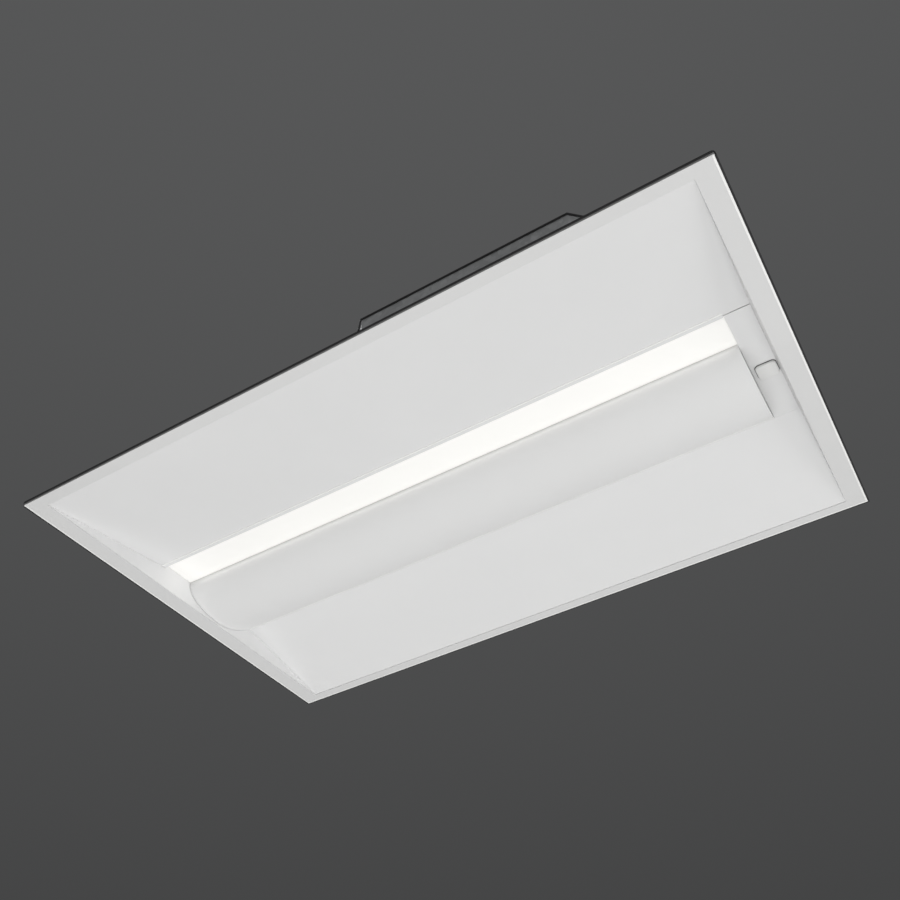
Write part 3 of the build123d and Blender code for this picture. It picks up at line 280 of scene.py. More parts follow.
    def round_along(self, axis: Axis, places: Sequence[Flat], radius: float, strips: int) -> "Form":
        """Round the edges that run along an axis through stated places.

        Args:
            axis: Axis that the edges run along.
            places: Places of the edges in the plane across it.
            radius: Radius of the rounding.
            strips: Number of strips in it.

        Returns:
            This form.
        """
        def runs_at(edge: bmesh.types.BMEdge, place: Flat) -> bool:
            """Tell whether both ends of an edge lie at a place."""
            return all(abs(vertex.co[row] - value) < ON_LINE for vertex in edge.verts
                       for row, value in zip(axis.value, place))
        edges = [edge for edge in self.mesh.edges if any(runs_at(edge, place) for place in places)]
        bmesh.ops.bevel(self.mesh, geom=edges, offset=radius, offset_type="OFFSET", segments=strips,
                        profile=0.5, affect="EDGES", material=-1, clamp_overlap=True)
        return self

    def lean(self, *sides: int, middle: float = 0.0) -> "Form":
        """Shear the left (-1) or right (1) end of a form to lie along that leaning end wall.

        Args:
            sides: Signs of the ends along X.
            middle: Place along X that parts the ends.

        Returns:
            This form.
        """
        for side in sides:
            shear = Matrix.Identity(4)
            shear[0][2] = -side * LEAN
            end = [vertex for vertex in self.mesh.verts if side * (vertex.co.x - middle) > 0]
            bmesh.ops.transform(self.mesh, matrix=shear, verts=end)
        return self

    def take(self, other: "Form") -> "Form":
        """Take in another form and end it."""
        carrier = bpy.data.meshes.new("carrier")
        other.mesh.to_mesh(carrier)
        other.mesh.free()
        self.mesh.from_mesh(carrier)
        bpy.data.meshes.remove(carrier)
        return self

    def mirrored(self) -> "Form":
        """Turn the form over to the other end of the light."""
        bmesh.ops.transform(self.mesh, matrix=Matrix.Diagonal((-1, 1, 1, 1)), verts=self.mesh.verts[:])
        return self

    def finish(self, name: str, finishes: "Finishes", slot: str, replaces: Sequence[str] = (),
               edge: float = 0.0, strips: int = 2, body: str = "housing",
               coat: str = "") -> bpy.types.Object:
        """Turn the form into a piece of the scene.

        Args:
            name: Name of the piece.
            finishes: The light's finishes.
            slot: Material slot of the record.
            replaces: CAD nodes that it stands for.
            edge: Width of the rounding on its sharp edges, or 0 for none.
            strips: Number of strips in that rounding.
            body: Body that it rides on.
            coat: Its own finish, where that isn't the slot's.

        Returns:
            The new object.
        """
        bmesh.ops.recalc_face_normals(self.mesh, faces=self.mesh.faces[:])
        bmesh.ops.scale(self.mesh, vec=(MM, MM, MM), verts=self.mesh.verts[:])
        for face in self.mesh.faces:
            face.smooth = True
        data = bpy.data.meshes.new(name)
        self.mesh.to_mesh(data)
        self.mesh.free()
        data.materials.append(finishes[coat or slot])
        piece = add_object(name, data)
        soften(piece, edge, strips)
        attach(piece, body)
        if replaces:
            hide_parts(*replaces)
        log.info("piece %s on %s, %d faces", name, body, len(data.polygons))
        return piece


# ---------------------------------------------------------------- shader building
class Graph:
    """A material's or group's node tree, with short ways to add and join nodes."""

    def __init__(self, tree: Tree) -> None:
        """Hold the tree."""
        self.tree = tree

    def feed(self, socket: Socket, value: object) -> None:
        """Join a socket to another one, or set it to a value.

        Args:
            socket: Input socket.
            value: Output socket, number or colour.
        """
        if isinstance(value, Socket):
            self.tree.links.new(value, socket)
        elif socket.type == "RGBA":
            socket.default_value = (*value, 1.0)
        else:
            socket.default_value = value

    def add(self, kind: str, **values: object) -> bpy.types.Node:
        """Add a node, set its properties and feed its sockets by name.

        Args:
            kind: Node type.
            values: Properties in lower case, and sockets with underscores for spaces.

        Returns:
            The node.
        """
        node = self.tree.nodes.new(kind)
        for key, value in values.items():
            if hasattr(node, key):
                setattr(node, key, value)
                continue
            sockets = [socket for socket in node.inputs if socket.name == key.replace("_", " ")]
            self.feed(next((socket for socket in sockets if socket.enabled), sockets[0]), value)
        return node

    def math(self, operation: str, one: object, other: object) -> Socket:
        """Work out two values or sockets with a Math node and return its result."""
        node = self.add("ShaderNodeMath", operation=operation)
        self.feed(node.inputs[0], one)
        self.feed(node.inputs[1], other)
        return node.outputs[0]

    def weigh(self, *parts: tuple[Socket, float]) -> Socket:
        """Add values up by their shares.

        Args:
            parts: Each value's socket and share.

        Returns:
            The sum's socket.
        """
        shares = [self.math("MULTIPLY", socket, share) for socket, share in parts]
        total = shares.pop()
        while shares:
            total = self.math("ADD", shares.pop(), total)
        return total

    def fit(self, value: Socket, low: float, high: float, to_low: float, to_high: float) -> Socket:
        """Map a value from one range to another, held at its ends."""
        return self.add("ShaderNodeMapRange", Value=value, From_Min=low, From_Max=high, To_Min=to_low,
                        To_Max=to_high).outputs["Result"]

    def blend(self, factor: object, one: object, other: object) -> Socket:
        """Mix two colours, or sockets of colours, by a factor."""
        node = self.add("ShaderNodeMix", data_type="RGBA")
        for socket, value in ((node.inputs[0], factor), (node.inputs[6], one), (node.inputs[7], other)):
            self.feed(socket, value)
        return node.outputs[2]

    def noise(self, vector: Socket, scale: object, detail: float = 2.0, roughness: float = 0.5) -> Socket:
        """Join a noise texture and return its value."""
        return self.add("ShaderNodeTexNoise", Vector=vector, Scale=scale, Detail=detail,
                        Roughness=roughness).outputs["Fac"]

    def stretched(self, vector: Socket, scale: Place) -> Socket:
        """Scale a place by its axes."""
        return self.add("ShaderNodeMapping", vector_type="POINT", Vector=vector, Scale=scale).outputs[0]


class Effect:
    """Surface effects that several finishes share, each one node group made once."""

    @staticmethod
    def start(name: str, label: str, value: float) -> tuple[Graph, Socket, Socket]:
        """Open a new group with a vector and one value going in, and height, tone and gloss coming out.

        Args:
            name: Name of the group.
            label: Name of the value.
            value: Its default.

        Returns:
            The graph, and the sockets of the vector and the value.
        """
        tree = bpy.data.node_groups.new(name, "ShaderNodeTree")
        tree.interface.new_socket("Vector", in_out="INPUT", socket_type="NodeSocketVector")
        socket = tree.interface.new_socket(label, in_out="INPUT", socket_type="NodeSocketFloat")
        socket.default_value = value
        for result in ("Height", "Tone", "Gloss"):
            tree.interface.new_socket(result, in_out="OUTPUT", socket_type="NodeSocketFloat")
        entry = tree.nodes.new("NodeGroupInput")
        return Graph(tree), entry.outputs[0], entry.outputs[1]

    @staticmethod
    def end(graph: Graph, height: Socket, tone: Socket, gloss: Socket) -> Tree:
        """Join what comes out of a group and return its tree."""
        graph.add("NodeGroupOutput", Height=height, Tone=tone, Gloss=gloss)
        return graph.tree

    @staticmethod
    @cache
    def paint_skin() -> Tree:
        """Orange peel, fine grain and slow drift of a sprayed and baked powder coat."""
        graph, place, size = Effect.start("paint_skin", "Peel", 650.0)
        peel = graph.noise(place, size, 1.5)
        grain = graph.noise(place, 2600.0)
        drift = graph.noise(place, 3.2, 3.0, 0.55)
        patch = graph.noise(place, 24.0, 4.0, 0.6)
        speck = graph.noise(place, 900.0, 1.0)
        return Effect.end(graph, graph.weigh((peel, 1.0), (grain, 0.25)),
                          graph.weigh((drift, 0.7), (patch, 0.3)), graph.weigh((patch, 0.75), (speck, 0.25)))

    @staticmethod
    @cache
    def zinc_spangle() -> Tree:
        """Frosted crystal patches of hot-dipped zinc, with rolling streaks and dull patches."""
        graph, place, size = Effect.start("zinc_spangle", "Grain", 150.0)
        wander = graph.add("ShaderNodeTexNoise", Vector=place, Scale=60.0, Detail=2.0)
        shift = graph.add("ShaderNodeVectorMath", operation="SCALE", Scale=0.006)
        graph.feed(shift.inputs[0], wander.outputs["Color"])
        moved = graph.add("ShaderNodeVectorMath", operation="ADD")
        graph.feed(moved.inputs[0], place)
        graph.feed(moved.inputs[1], shift.outputs[0])
        cells = graph.add("ShaderNodeTexVoronoi", feature="F1", Vector=moved.outputs[0], Scale=size)
        facet = graph.add("ShaderNodeSeparateColor", Color=cells.outputs["Color"])
        feather = graph.noise(moved.outputs[0], 420.0, 3.0, 0.65)
        streak = graph.noise(graph.stretched(place, (6.0, 220.0, 220.0)), 1.0)
        dull = graph.noise(place, 7.0, 4.0, 0.6)
        return Effect.end(graph, graph.weigh((facet.outputs[2], 0.3), (feather, 0.7)),
                          graph.weigh((facet.outputs[0], 0.5), (feather, 0.25), (dull, 0.25)),
                          graph.weigh((facet.outputs[1], 0.45), (streak, 0.2), (dull, 0.35)))

    @staticmethod
    @cache
    def drawn_steel() -> Tree:
        """Fine drawn lines and small dents of plated or spring steel."""
        graph, place, size = Effect.start("drawn_steel", "Lines", 1400.0)
        lines = graph.noise(graph.stretched(place, (0.06, 1.0, 1.0)), size)
        dull = graph.noise(place, 130.0, 3.0, 0.6)
        return Effect.end(graph, lines, graph.weigh((lines, 0.4), (dull, 0.6)), dull)

    @staticmethod
    @cache
    def moulded_skin() -> Tree:
        """Spark-eroded texture and faint flow marks of a moulded plastic."""
        graph, place, size = Effect.start("moulded_skin", "Grain", 2400.0)
        grain = graph.noise(place, size)
        flow = graph.noise(place, 60.0, 3.0, 0.55)
        return Effect.end(graph, grain, graph.weigh((grain, 0.3), (flow, 0.7)), flow)


@dataclass(frozen=True)
class Finish:
    """A surface finish whose tone, gloss and grain come from one shared effect; plain, a moulded plastic."""

    name: str
    colour: Colour
    roughness: float
    tone_spread: float
    gloss_spread: float = 0.08
    bump: float = 0.10
    depth: float = 0.03                 # of the relief, in millimetres
    coat: float = 0.0
    metallic: float = 0.0
    skin: Callable[[], Tree] = Effect.moulded_skin

    def build(self) -> Material:
        """Make the material, with colour, roughness and relief from the effect."""
        material = bpy.data.materials.new(self.name)
        material.use_nodes = True
        graph = Graph(material.node_tree)
        place = graph.add("ShaderNodeTexCoord").outputs["Object"]
        effect = graph.add("ShaderNodeGroup", node_tree=self.skin(), Vector=place).outputs
        dark = tuple(channel * (1.0 - self.tone_spread) for channel in self.colour)
        light = tuple(min(1.0, channel * (1.0 + self.tone_spread)) for channel in self.colour)
        tone = graph.fit(effect["Tone"], *EFFECT_RANGE, 0.0, 1.0)
        rough = graph.fit(effect["Gloss"], *EFFECT_RANGE, self.roughness - self.gloss_spread,
                          self.roughness + self.gloss_spread)
        relief = graph.add("ShaderNodeBump", Strength=self.bump, Distance=self.depth * MM,
                           Height=effect["Height"])
        self.dress(graph, {"Base Color": graph.blend(tone, dark, light), "Roughness": rough,
                           "Metallic": self.metallic, "Coat Weight": self.coat,
                           "Normal": relief.outputs["Normal"]})
        return material

    @staticmethod
    def dress(graph: Graph, values: dict[str, object]) -> None:
        """Feed the material's shader by the names of its sockets."""
        for label, value in values.items():
            graph.feed(graph.tree.nodes["Principled BSDF"].inputs[label], value)


@dataclass(frozen=True)
class Paint(Finish):
    """A sprayed and baked coat."""

    gloss_spread: float = 0.06
    depth: float = 0.06
    skin: Callable[[], Tree] = Effect.paint_skin


@dataclass(frozen=True)
class Metal(Finish):
    """Bare plated or drawn steel."""

    gloss_spread: float = 0.10
    metallic: float = 1.0
    skin: Callable[[], Tree] = Effect.drawn_steel


@dataclass(frozen=True)
class GlowingOpal(Finish):
    """Opal acrylic lit from behind: a warm, even glow that fades a little at its left end."""

    glow: Colour = (1.0, 0.985, 0.95)
    strength: float = 0.27
    drift: Flat = (0.93, 1.0)           # slow change of the glow along the strip
    fade: Flat = (-0.428, -0.395)       # stretch along X, in metres, over which it fades
    end_share: float = 0.95

    def build(self) -> Material:
        """Make the diffuser's material, whose glow varies slowly along the strip."""
        material = super().build()
        graph = Graph(material.node_tree)
        place = graph.add("ShaderNodeTexCoord").outputs["Object"]
        along = graph.add("ShaderNodeSeparateXYZ", Vector=place).outputs["X"]
        slow = graph.fit(graph.noise(place, 5.0), *EFFECT_RANGE, *self.drift)
        level = graph.math("MULTIPLY", slow, graph.fit(along, *self.fade, self.end_share, 1.0))
        self.dress(graph, {"Emission Color": graph.blend(level, (0.0, 0.0, 0.0), self.glow),
                           "Emission Strength": self.strength})
        return material


@dataclass
class Finishes:
    """All finishes of the light, made once and looked up by slot."""

    table: dict[str, Material] = field(default_factory=dict)

    def __post_init__(self) -> None:
        """Build every finish."""
        for slot, finish in {
            "white_panel": Paint("white_powder_coat", (0.80, 0.80, 0.80), 0.50, 0.012),
            # painted light: a brighter copy of the panels' white, for the left end wall that faces the lamps
            "white_wall": Paint("painted_light_wall_coat", (0.88, 0.88, 0.88), 0.50, 0.010),
            "white_flange": Paint("white_flange_coat", (0.725, 0.725, 0.722), 0.42, 0.012, coat=0.25),
            # painted shade: dark grey on the flange's near return face, standing in for the shade that falls
            # on it
            "painted_shade_return": Paint("painted_shade_return_coat", (0.30, 0.30, 0.30), 0.50, 0.02),
            # painted highlight: a brighter white for thin edges and lines, standing for the light they catch
            "painted_highlight_edge": Paint("painted_highlight_rolled_edge", (0.96, 0.96, 0.945), 0.30, 0.008, 0.05, 0.05, 0.04,
                                0.4),
            "white_reflector": Paint("white_high_reflectance_paint", (0.80, 0.80, 0.797), 0.58, 0.010, 0.05,
                                     0.06, 0.05),
            "driver_case": Paint("driver_case_enamel", (0.70, 0.71, 0.72), 0.40, 0.03, 0.08, depth=0.04),
            "galvanised_steel": Metal("galvanised_sheet", (0.58, 0.59, 0.60), 0.44, 0.10, 0.12, depth=0.05,
                                      metallic=0.50, skin=Effect.zinc_spangle),
            "spring_steel": Metal("spring_steel", (0.46, 0.47, 0.48), 0.34, 0.10),
            "fastener_steel": Metal("zinc_plated_steel", (0.64, 0.65, 0.66), 0.32, 0.08),
            "ground_green": Finish("green_screw_paint", (0.030, 0.24, 0.075), 0.38, 0.10, coat=0.2),
            "gasket_foam": Finish("black_closed_cell_foam", (0.022, 0.022, 0.023), 0.85, 0.30, bump=0.5,
                                  depth=0.15),
            "board_white": Finish("white_solder_mask", (0.82, 0.82, 0.80), 0.35, 0.02, 0.06, 0.08),
            "led_phosphor": Finish("led_phosphor", (0.86, 0.70, 0.22), 0.45, 0.08),
            "connector_nylon": Finish("natural_nylon", (0.78, 0.75, 0.66), 0.48, 0.04, bump=0.12),
            "sensor_white": Finish("white_polycarbonate", (0.80, 0.80, 0.79), 0.42, 0.02, 0.06, 0.12),
            "block_black": Finish("black_polyamide", (0.028, 0.028, 0.030), 0.42, 0.15, bump=0.15),
            "terminal_grey": Finish("grey_polyamide", (0.42, 0.43, 0.44), 0.45, 0.05, bump=0.15),
            "lever_orange": Finish("orange_polyamide", (0.80, 0.22, 0.025), 0.42, 0.05, bump=0.15),
            **{f"lead_{tone}": Finish(f"{tone}_insulation", colour, roughness, spread, bump=0.08)
               for tone, colour, roughness, spread in (
                   ("black", (0.020, 0.020, 0.021), 0.38, 0.15), ("white", (0.76, 0.76, 0.74), 0.38, 0.04),
                   ("red", (0.52, 0.020, 0.018), 0.38, 0.10), ("grey", (0.36, 0.37, 0.38), 0.42, 0.06),
                   ("green", (0.035, 0.27, 0.06), 0.38, 0.08))},
            "opal_acrylic": GlowingOpal("lit_opal_acrylic", (0.788, 0.78308, 0.76338), 0.42, 0.01523, 0.05,
                                        0.05, 0.02),
        }.items():
            self.table[slot] = finish.build()
            log.info("finish %s for slot %s", finish.name, slot)

    def __getitem__(self, slot: str) -> Material:
        """Look a finish up by its slot."""
        return self.table[slot]

    def dress_nodes(self) -> None:
        """Give every CAD node the finish of its slot."""
        for name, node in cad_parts.items():
            for holder in node.material_slots:
                key = holder.material.name.split(".")[0]
                if key in self.table:
                    holder.material = self.table[key]
                else:
                    log.warning("node %s has no finish for %s", name, key)


# ---------------------------------------------------------------- sub-assemblies
@dataclass
class SubAssembly:
    """A part of the light that builds its own pieces."""

    finishes: Finishes


@dataclass
class TrimFrame(SubAssembly):
    """Flat flange with an upturned outer edge, and the foam gasket that sits behind it."""

    half_x: float = 454.0
    half_y: float = 301.5
    sheet: float = 1.0
    rise: float = 3.0
    corner: float = 1.6
    hole_corner: float = 0.3
    bead: float = 2.9                   # the rolled edge's painted highlight line, from here
    wrap: float = 0.9                   # to here, where the black skirt of painted shadow wraps it
    foam_hole: float = 6.5              # the foam's inner edge, inside the flange's outer one
    foam_block: float = 1.5
    foam_lip: float = 1.5
    foam_top: float = 5.0
    foam_edge: float = 0.35             # width of the rounding on the foam's edges
    painted_shadow_skirt_top: float = 3.4
    painted_shadow_skirt_bite: float = 0.05            # how far the skirt reaches past the painted highlight's end

    def flange(self) -> None:
        """Build the flange from rectangular loops, with a rolled outer edge."""
        x, y, t, r = self.half_x, self.half_y, self.sheet, self.corner
        rolled = [Rim(x - inset, y - inset, z, radius) for inset, z, radius in (
            (self.bead, 0.0, 0.2), (self.wrap, 0.0, 0.8), (0.3, 0.25, 1.3), (0.0, 0.9, r),
            (0.0, self.rise, r), (t, self.rise, r - t), (t, t, r - t))]
        form = Form().ring((Rim(HALF_X, HALF_Y, 0.0, self.hole_corner), *rolled,
                            Rim(HALF_X, HALF_Y, t, self.hole_corner)))
        piece = form.finish("flange_rolled", self.finishes, "white_panel", ("trim_frame",), SHEET_EDGE,
                            coat="white_flange")
        painted_highlight_line, painted_shade_near_return = 1, 2      # places of the materials after the flange's own
        piece.data.materials.append(self.finishes["painted_highlight_edge"])
        piece.data.materials.append(self.finishes["painted_shade_return"])
        for face in piece.data.polygons:
            centre = face.center / MM
            # the near return face takes the dark grey, painted shade
            if y + centre.y < self.bead and centre.z > t / 2:
                face.material_index = painted_shade_near_return
            # the underside's outer band on the left, right and far sides takes the brighter white, a painted
            # highlight
            gap = min(x - abs(centre.x), y - centre.y)
            if self.wrap < gap < self.bead and abs(centre.z) < MERGE:
                face.material_index = painted_highlight_line

    def gasket(self) -> None:
        """Build the foam strip, its lip over the upturned edge, and a black skirt on three sides that paints
        the shadow line round the flange.
        """
        hole, block, lip = -self.foam_hole, -self.foam_block, self.foam_lip
        form = Form().ring([Rim(self.half_x + out, self.half_y + out, z, radius) for out, z, radius in (
            (hole, FLANGE_TOP, 0.5), (block, FLANGE_TOP, 0.5), (block, self.rise, 0.5),
            (lip, self.rise, 4.0), (lip, self.foam_top, 4.0), (hole, self.foam_top, 0.5))])
        # the skirt on the left, right and far sides is black sheet standing for the dark shadow line outside
        # the flange: painted shadow
        outer_x, outer_y = self.half_x + lip, self.half_y + lip
        inner_x, inner_y = (half - self.wrap + self.painted_shadow_skirt_bite for half in (self.half_x, self.half_y))
        near = self.corner - self.half_y
        outline = ((-outer_x, near), (-inner_x, near), (-inner_x, inner_y), (inner_x, inner_y),
                   (inner_x, near), (outer_x, near), (outer_x, outer_y), (-outer_x, outer_y))
        form.take(Form().solid(Axis.Z, outline, 0.0, self.painted_shadow_skirt_top))
        form.finish("gasket_lipped", self.finishes, "gasket_foam", ("perimeter_gasket",), self.foam_edge, 3)

    def make(self) -> None:
        """Build the flange and its gasket."""
        self.flange()
        self.gasket()


@dataclass
class SidePanels(SubAssembly):
    """The two long sloping wings, each folded from one sheet, and the strips along their inner edges."""

    sheet: float = 0.8
    foot: float = 8.0
    rise: float = 28.0
    top: float = 40.0
    bend: float = 0.9                   # radius of the folds
    end_gap: float = 0.02
    lip_right: float = 393.2
    lens_z: float = 32.9
    retainer: float = 3.0
    lap: float = 3.6
    lip_sheet: float = 0.6
    bite: float = 0.4                   # half of the strip's lap through the wing's sheet
    proud: float = 0.02
    bead_radius: float = 0.95
    bead_sink: float = 0.1
    hem: float = 1.7
    hem_gap: float = 0.06

    def wing(self, name: str, node: str, side: int, edge_y: float) -> None:
        """Build one wing.

        Args:
            name: Name of the piece.
            node: CAD node that it stands for.
            side: Sign along Y.
            edge_y: Place of the wing's inner edge.
        """
        low, high = FLANGE_TOP, FLANGE_TOP + self.sheet
        outer = side * HALF_Y
        foot, back = outer + side * self.foot, edge_y + side * self.sheet
        outline = ((foot, low), (outer, low), (edge_y, self.rise), (edge_y, self.top), (back, self.top),
                   (back, self.rise + self.sheet), (outer, high), (foot, high))
        form = Form().solid(Axis.X, outline, self.end_gap - HALF_X, HALF_X - self.end_gap)
        form.round_along(Axis.X, [(edge_y, self.rise)], self.bend, 4)
        form.round_along(Axis.X, [(outer, low), (outer, high)], self.bend, 3)
        form.lean(-1, 1)
        form.finish(name, self.finishes, "white_panel", (node,), SHEET_EDGE)

    def retaining_strip(self) -> None:
        """Build the strip that holds the lens on the near wing, and the bead along its lap, whose brighter
        white is a painted highlight.
        """
        tip, lap, t, z = NEAR_EDGE + self.retainer, NEAR_EDGE - self.lap, self.lip_sheet, self.rise
        bite, proud = self.bite, self.proud
        wing_z = z - self.lap * (z - FLANGE_TOP) / (HALF_Y + NEAR_EDGE)
        outline = ((lap, wing_z - bite), (tip, z - bite), (tip, self.lens_z), (tip - t, self.lens_z),
                   (tip - t, z + bite), (NEAR_EDGE + bite, z + bite), (NEAR_EDGE, z + proud),
                   (lap, wing_z + proud))
        strip = Form().solid(Axis.X, outline, LEFT_END, self.lip_right).lean(-1)
        strip.finish("lens_retaining_strip", self.finishes, "white_panel", edge=STRIP_EDGE)
        centre = (lap, wing_z - self.bead_sink)
        bead = Form().drum(Axis.X, centre, LEFT_END, self.lip_right, self.bead_radius, 20)
        # the bead's brighter white is a painted highlight
        bead.lean(-1).finish("lens_strip_bead", self.finishes, "white_panel", coat="painted_highlight_edge")

    def far_hem(self) -> None:
        """Build the hem on the far wing's inner edge, in the brighter white of a painted highlight."""
        low, tip = self.rise + 0.05, FAR_EDGE - self.hem
        high, root = low + self.lip_sheet, FAR_EDGE - self.hem_gap
        hem = Form().solid(Axis.X, ((tip, low), (root, low), (root, high), (tip, high)), LEFT_END,
                           self.lip_right)
        # the hem's brighter white is a painted highlight
        hem.lean(-1).finish("far_wing_hem", self.finishes, "white_panel", edge=STRIP_EDGE,
                            coat="painted_highlight_edge")

    def make(self) -> None:
        """Build both wings and their strips."""
        self.wing("near_wing_folded", "near_wing", -1, NEAR_EDGE)
        self.wing("far_wing_folded", "far_wing", 1, FAR_EDGE)
        self.retaining_strip()
        self.far_hem()


@dataclass
class EndWalls(SubAssembly):
    """Leaning end walls with their feet on the flange and the ears that carry the grid clips."""

    sheet: float = 0.8
    shoulder: float = 7.0
    step: float = 40.0
    margin: float = 14.0
    foot_x: float = 440.0
    ear_tip_x: float = 443.5
    ear_y: float = 205.0
    ear_width: float = 16.0
    ear_sheet: float = 1.2
    ear_corner: float = 3.0

    def wall(self, name: str, node: str, side: int) -> None:
        """Build one end wall.

        Args:
            name: Name of the piece.
            node: CAD node that it stands for.
            side: Sign along X.
        """
        near, far = CHANNEL_NEAR - self.margin, CHANNEL_FAR + self.margin
        outline = ((-HALF_Y, FLANGE_TOP), (-HALF_Y, self.shoulder), (near, self.step), (near, HOUSING_TOP),
                   (far, HOUSING_TOP), (far, self.step), (HALF_Y, self.shoulder), (HALF_Y, FLANGE_TOP))
        form = Form().solid(Axis.X, outline, HALF_X, HALF_X + self.sheet).lean(1)
        form.block((HALF_X - LEAN, -HALF_Y, FLANGE_TOP), (self.foot_x, HALF_Y, FLANGE_TOP + self.sheet))
        root = HALF_X - self.shoulder * LEAN + self.sheet / 2
        for y in (-self.ear_y, self.ear_y):
            low, high = y - self.ear_width / 2, y + self.ear_width / 2
            tip, top = self.ear_tip_x, self.shoulder + self.ear_sheet
            ear = Form().block((root, low, self.shoulder), (tip, high, top))
            form.take(ear.round_along(Axis.Z, ((tip, low), (tip, high)), self.ear_corner, 4))
        if side < 0:
            form.mirrored()
        # the left wall takes the brighter white, painted light
        form.finish(name, self.finishes, "white_panel", (node,), SHEET_EDGE,
                    coat="white_wall" if side < 0 else "")

    def make(self) -> None:
        """Build both end walls."""
        self.wall("end_wall_left_folded", "end_wall_left", -1)
        self.wall("end_wall_right_folded", "end_wall_right", 1)


@dataclass
class HingedReflector(SubAssembly):
    """Curved reflector door: a thin shell with end caps and the knuckles of its hinges."""

    near_y: float = -27.5
    crown_y: float = 38.5
    crown_z: float = 4.0
    shoulder_z: float = 30.0
    lip_z: float = 36.4
    far_y: float = 105.3
    radius: float = 112.6
    near_steps: int = 40
    far_steps: int = 28
    sheet: float = 1.0
    left_x: float = -427.9
    right_x: float = 393.68
    cap_gap: float = 0.3                # the caps stand inside the shell's ends
    cap_inset: float = 0.4              # and inside its outer face
    cap_z: float = 31.0                 # its upper edge, between the toes
    near_toes: Flat = (6.0, 12.0)       # ends of the slope at the lens side
    far_toe: float = 6.0
    hinge_y: float = 103.817
    hinge_z: float = 27.968
    knuckle: float = 2.5
    knuckle_span: Flat = (4.7, 15.0)    # each knuckle's ends, from the hinge's middle
    hinge_xs: Flat = (-290.0, 255.0)

    def curve(self, form: Form, inset: float, x: float) -> tuple[Vert, Vert]:
        """Draw the curve from the lens side's shoulder over its lowest line to the hinge side.

        Args:
            form: Form to draw in.
            inset: Distance inside the outer face.
            x: Place along the light.

        Returns:
            The first and the last vertex.
        """
        half = self.crown_y - self.near_y - inset
        drop = self.shoulder_z - self.crown_z - inset
        first = form.mesh.verts.new((x, self.near_y + inset, self.shoulder_z))
        swept = form.arc(first, Vector((x, self.crown_y, self.shoulder_z)), 90.0, self.near_steps)
        squeeze = Matrix.Translation((0, 0, self.shoulder_z)) @ Matrix.Diagonal((1, 1, drop / half, 1)) \
            @ Matrix.Translation((0, 0, -self.shoulder_z))
        bmesh.ops.transform(form.mesh, matrix=squeeze, verts=swept)
        crown = min(swept, key=lambda vertex: vertex.co.z)
        turn = math.degrees(math.asin((self.far_y - self.crown_y) / self.radius))
        rest = form.arc(crown, Vector((x, self.crown_y, self.crown_z + self.radius)), turn, self.far_steps)
        return first, max(rest, key=lambda vertex: vertex.co.y)

    def shell(self) -> Form:
        """Build the thin curved shell and return its form."""
        form = Form()
        x, y = self.left_x, self.near_y
        start, end = self.curve(form, 0.0, x)
        inner_start, inner_end = self.curve(form, self.sheet, x)
        lip = form.mesh.verts.new((x, y, self.lip_z))
        inner_lip = form.mesh.verts.new((x, y + self.sheet, self.lip_z))
        return form.fill(((lip, start), (lip, inner_lip), (inner_lip, inner_start), (end, inner_end)),
                         self.right_x - x)

    def cap(self, x: float) -> Form:
        """Build one end cap with its outer face at a place along the light, and return its form."""
        form = Form()
        start, end = self.curve(form, self.cap_inset, x)
        corners = [form.mesh.verts.new((x, y, z)) for y, z in (
            (self.hinge_y, self.hinge_z), (self.hinge_y - self.far_toe, self.cap_z),
            (self.near_y + self.near_toes[1], self.cap_z), (self.near_y + self.near_toes[0], self.lip_z),
            (self.near_y + self.cap_inset, self.lip_z))]
        return form.fill(list(zip([end, *corners], [*corners, start])), math.copysign(self.sheet, -x))

    def make(self) -> None:
        """Build the reflector with its caps and knuckles."""
        form = self.shell()
        form.take(self.cap(self.left_x + self.cap_gap))
        form.take(self.cap(self.right_x - self.cap_gap))
        form.lean(-1)
        for x in self.hinge_xs:
            for sign in (-1, 1):
                low, high = sorted(x + sign * end for end in self.knuckle_span)
                form.drum(Axis.X, (self.hinge_y, self.hinge_z), low, high, self.knuckle, 24)
        form.finish("reflector_shell", self.finishes, "white_reflector", ("curved_reflector",), SHEET_EDGE,
                    body="reflector")


@dataclass
class LightEngine(SubAssembly):
    """The opal strip that covers the light engine."""

    near_y: float = -78.5
    far_y: float = -28.05
    low_z: float = 33.0
    wall: float = 1.6
    leg: float = 1.2
    leg_top: float = 43.0
    bend: float = 0.6
    right_x: float = 398.3

    def make(self) -> None:
        """Build the folded opal strip."""
        a, b, z, top = self.near_y, self.far_y, self.low_z, self.leg_top
        inner_a, inner_b, inner_z = a + self.leg, b - self.leg, z + self.wall
        outline = ((a, z), (b, z), (b, top), (inner_b, top), (inner_b, inner_z), (inner_a, inner_z),
                   (inner_a, top), (a, top))
        form = Form().solid(Axis.X, outline, LEFT_END, self.right_x)
        form.round_along(Axis.X, [(a, z), (b, z)], self.bend, 3).lean(-1)
        form.finish("opal_strip", self.finishes, "opal_acrylic", ("lens",), 0.1)


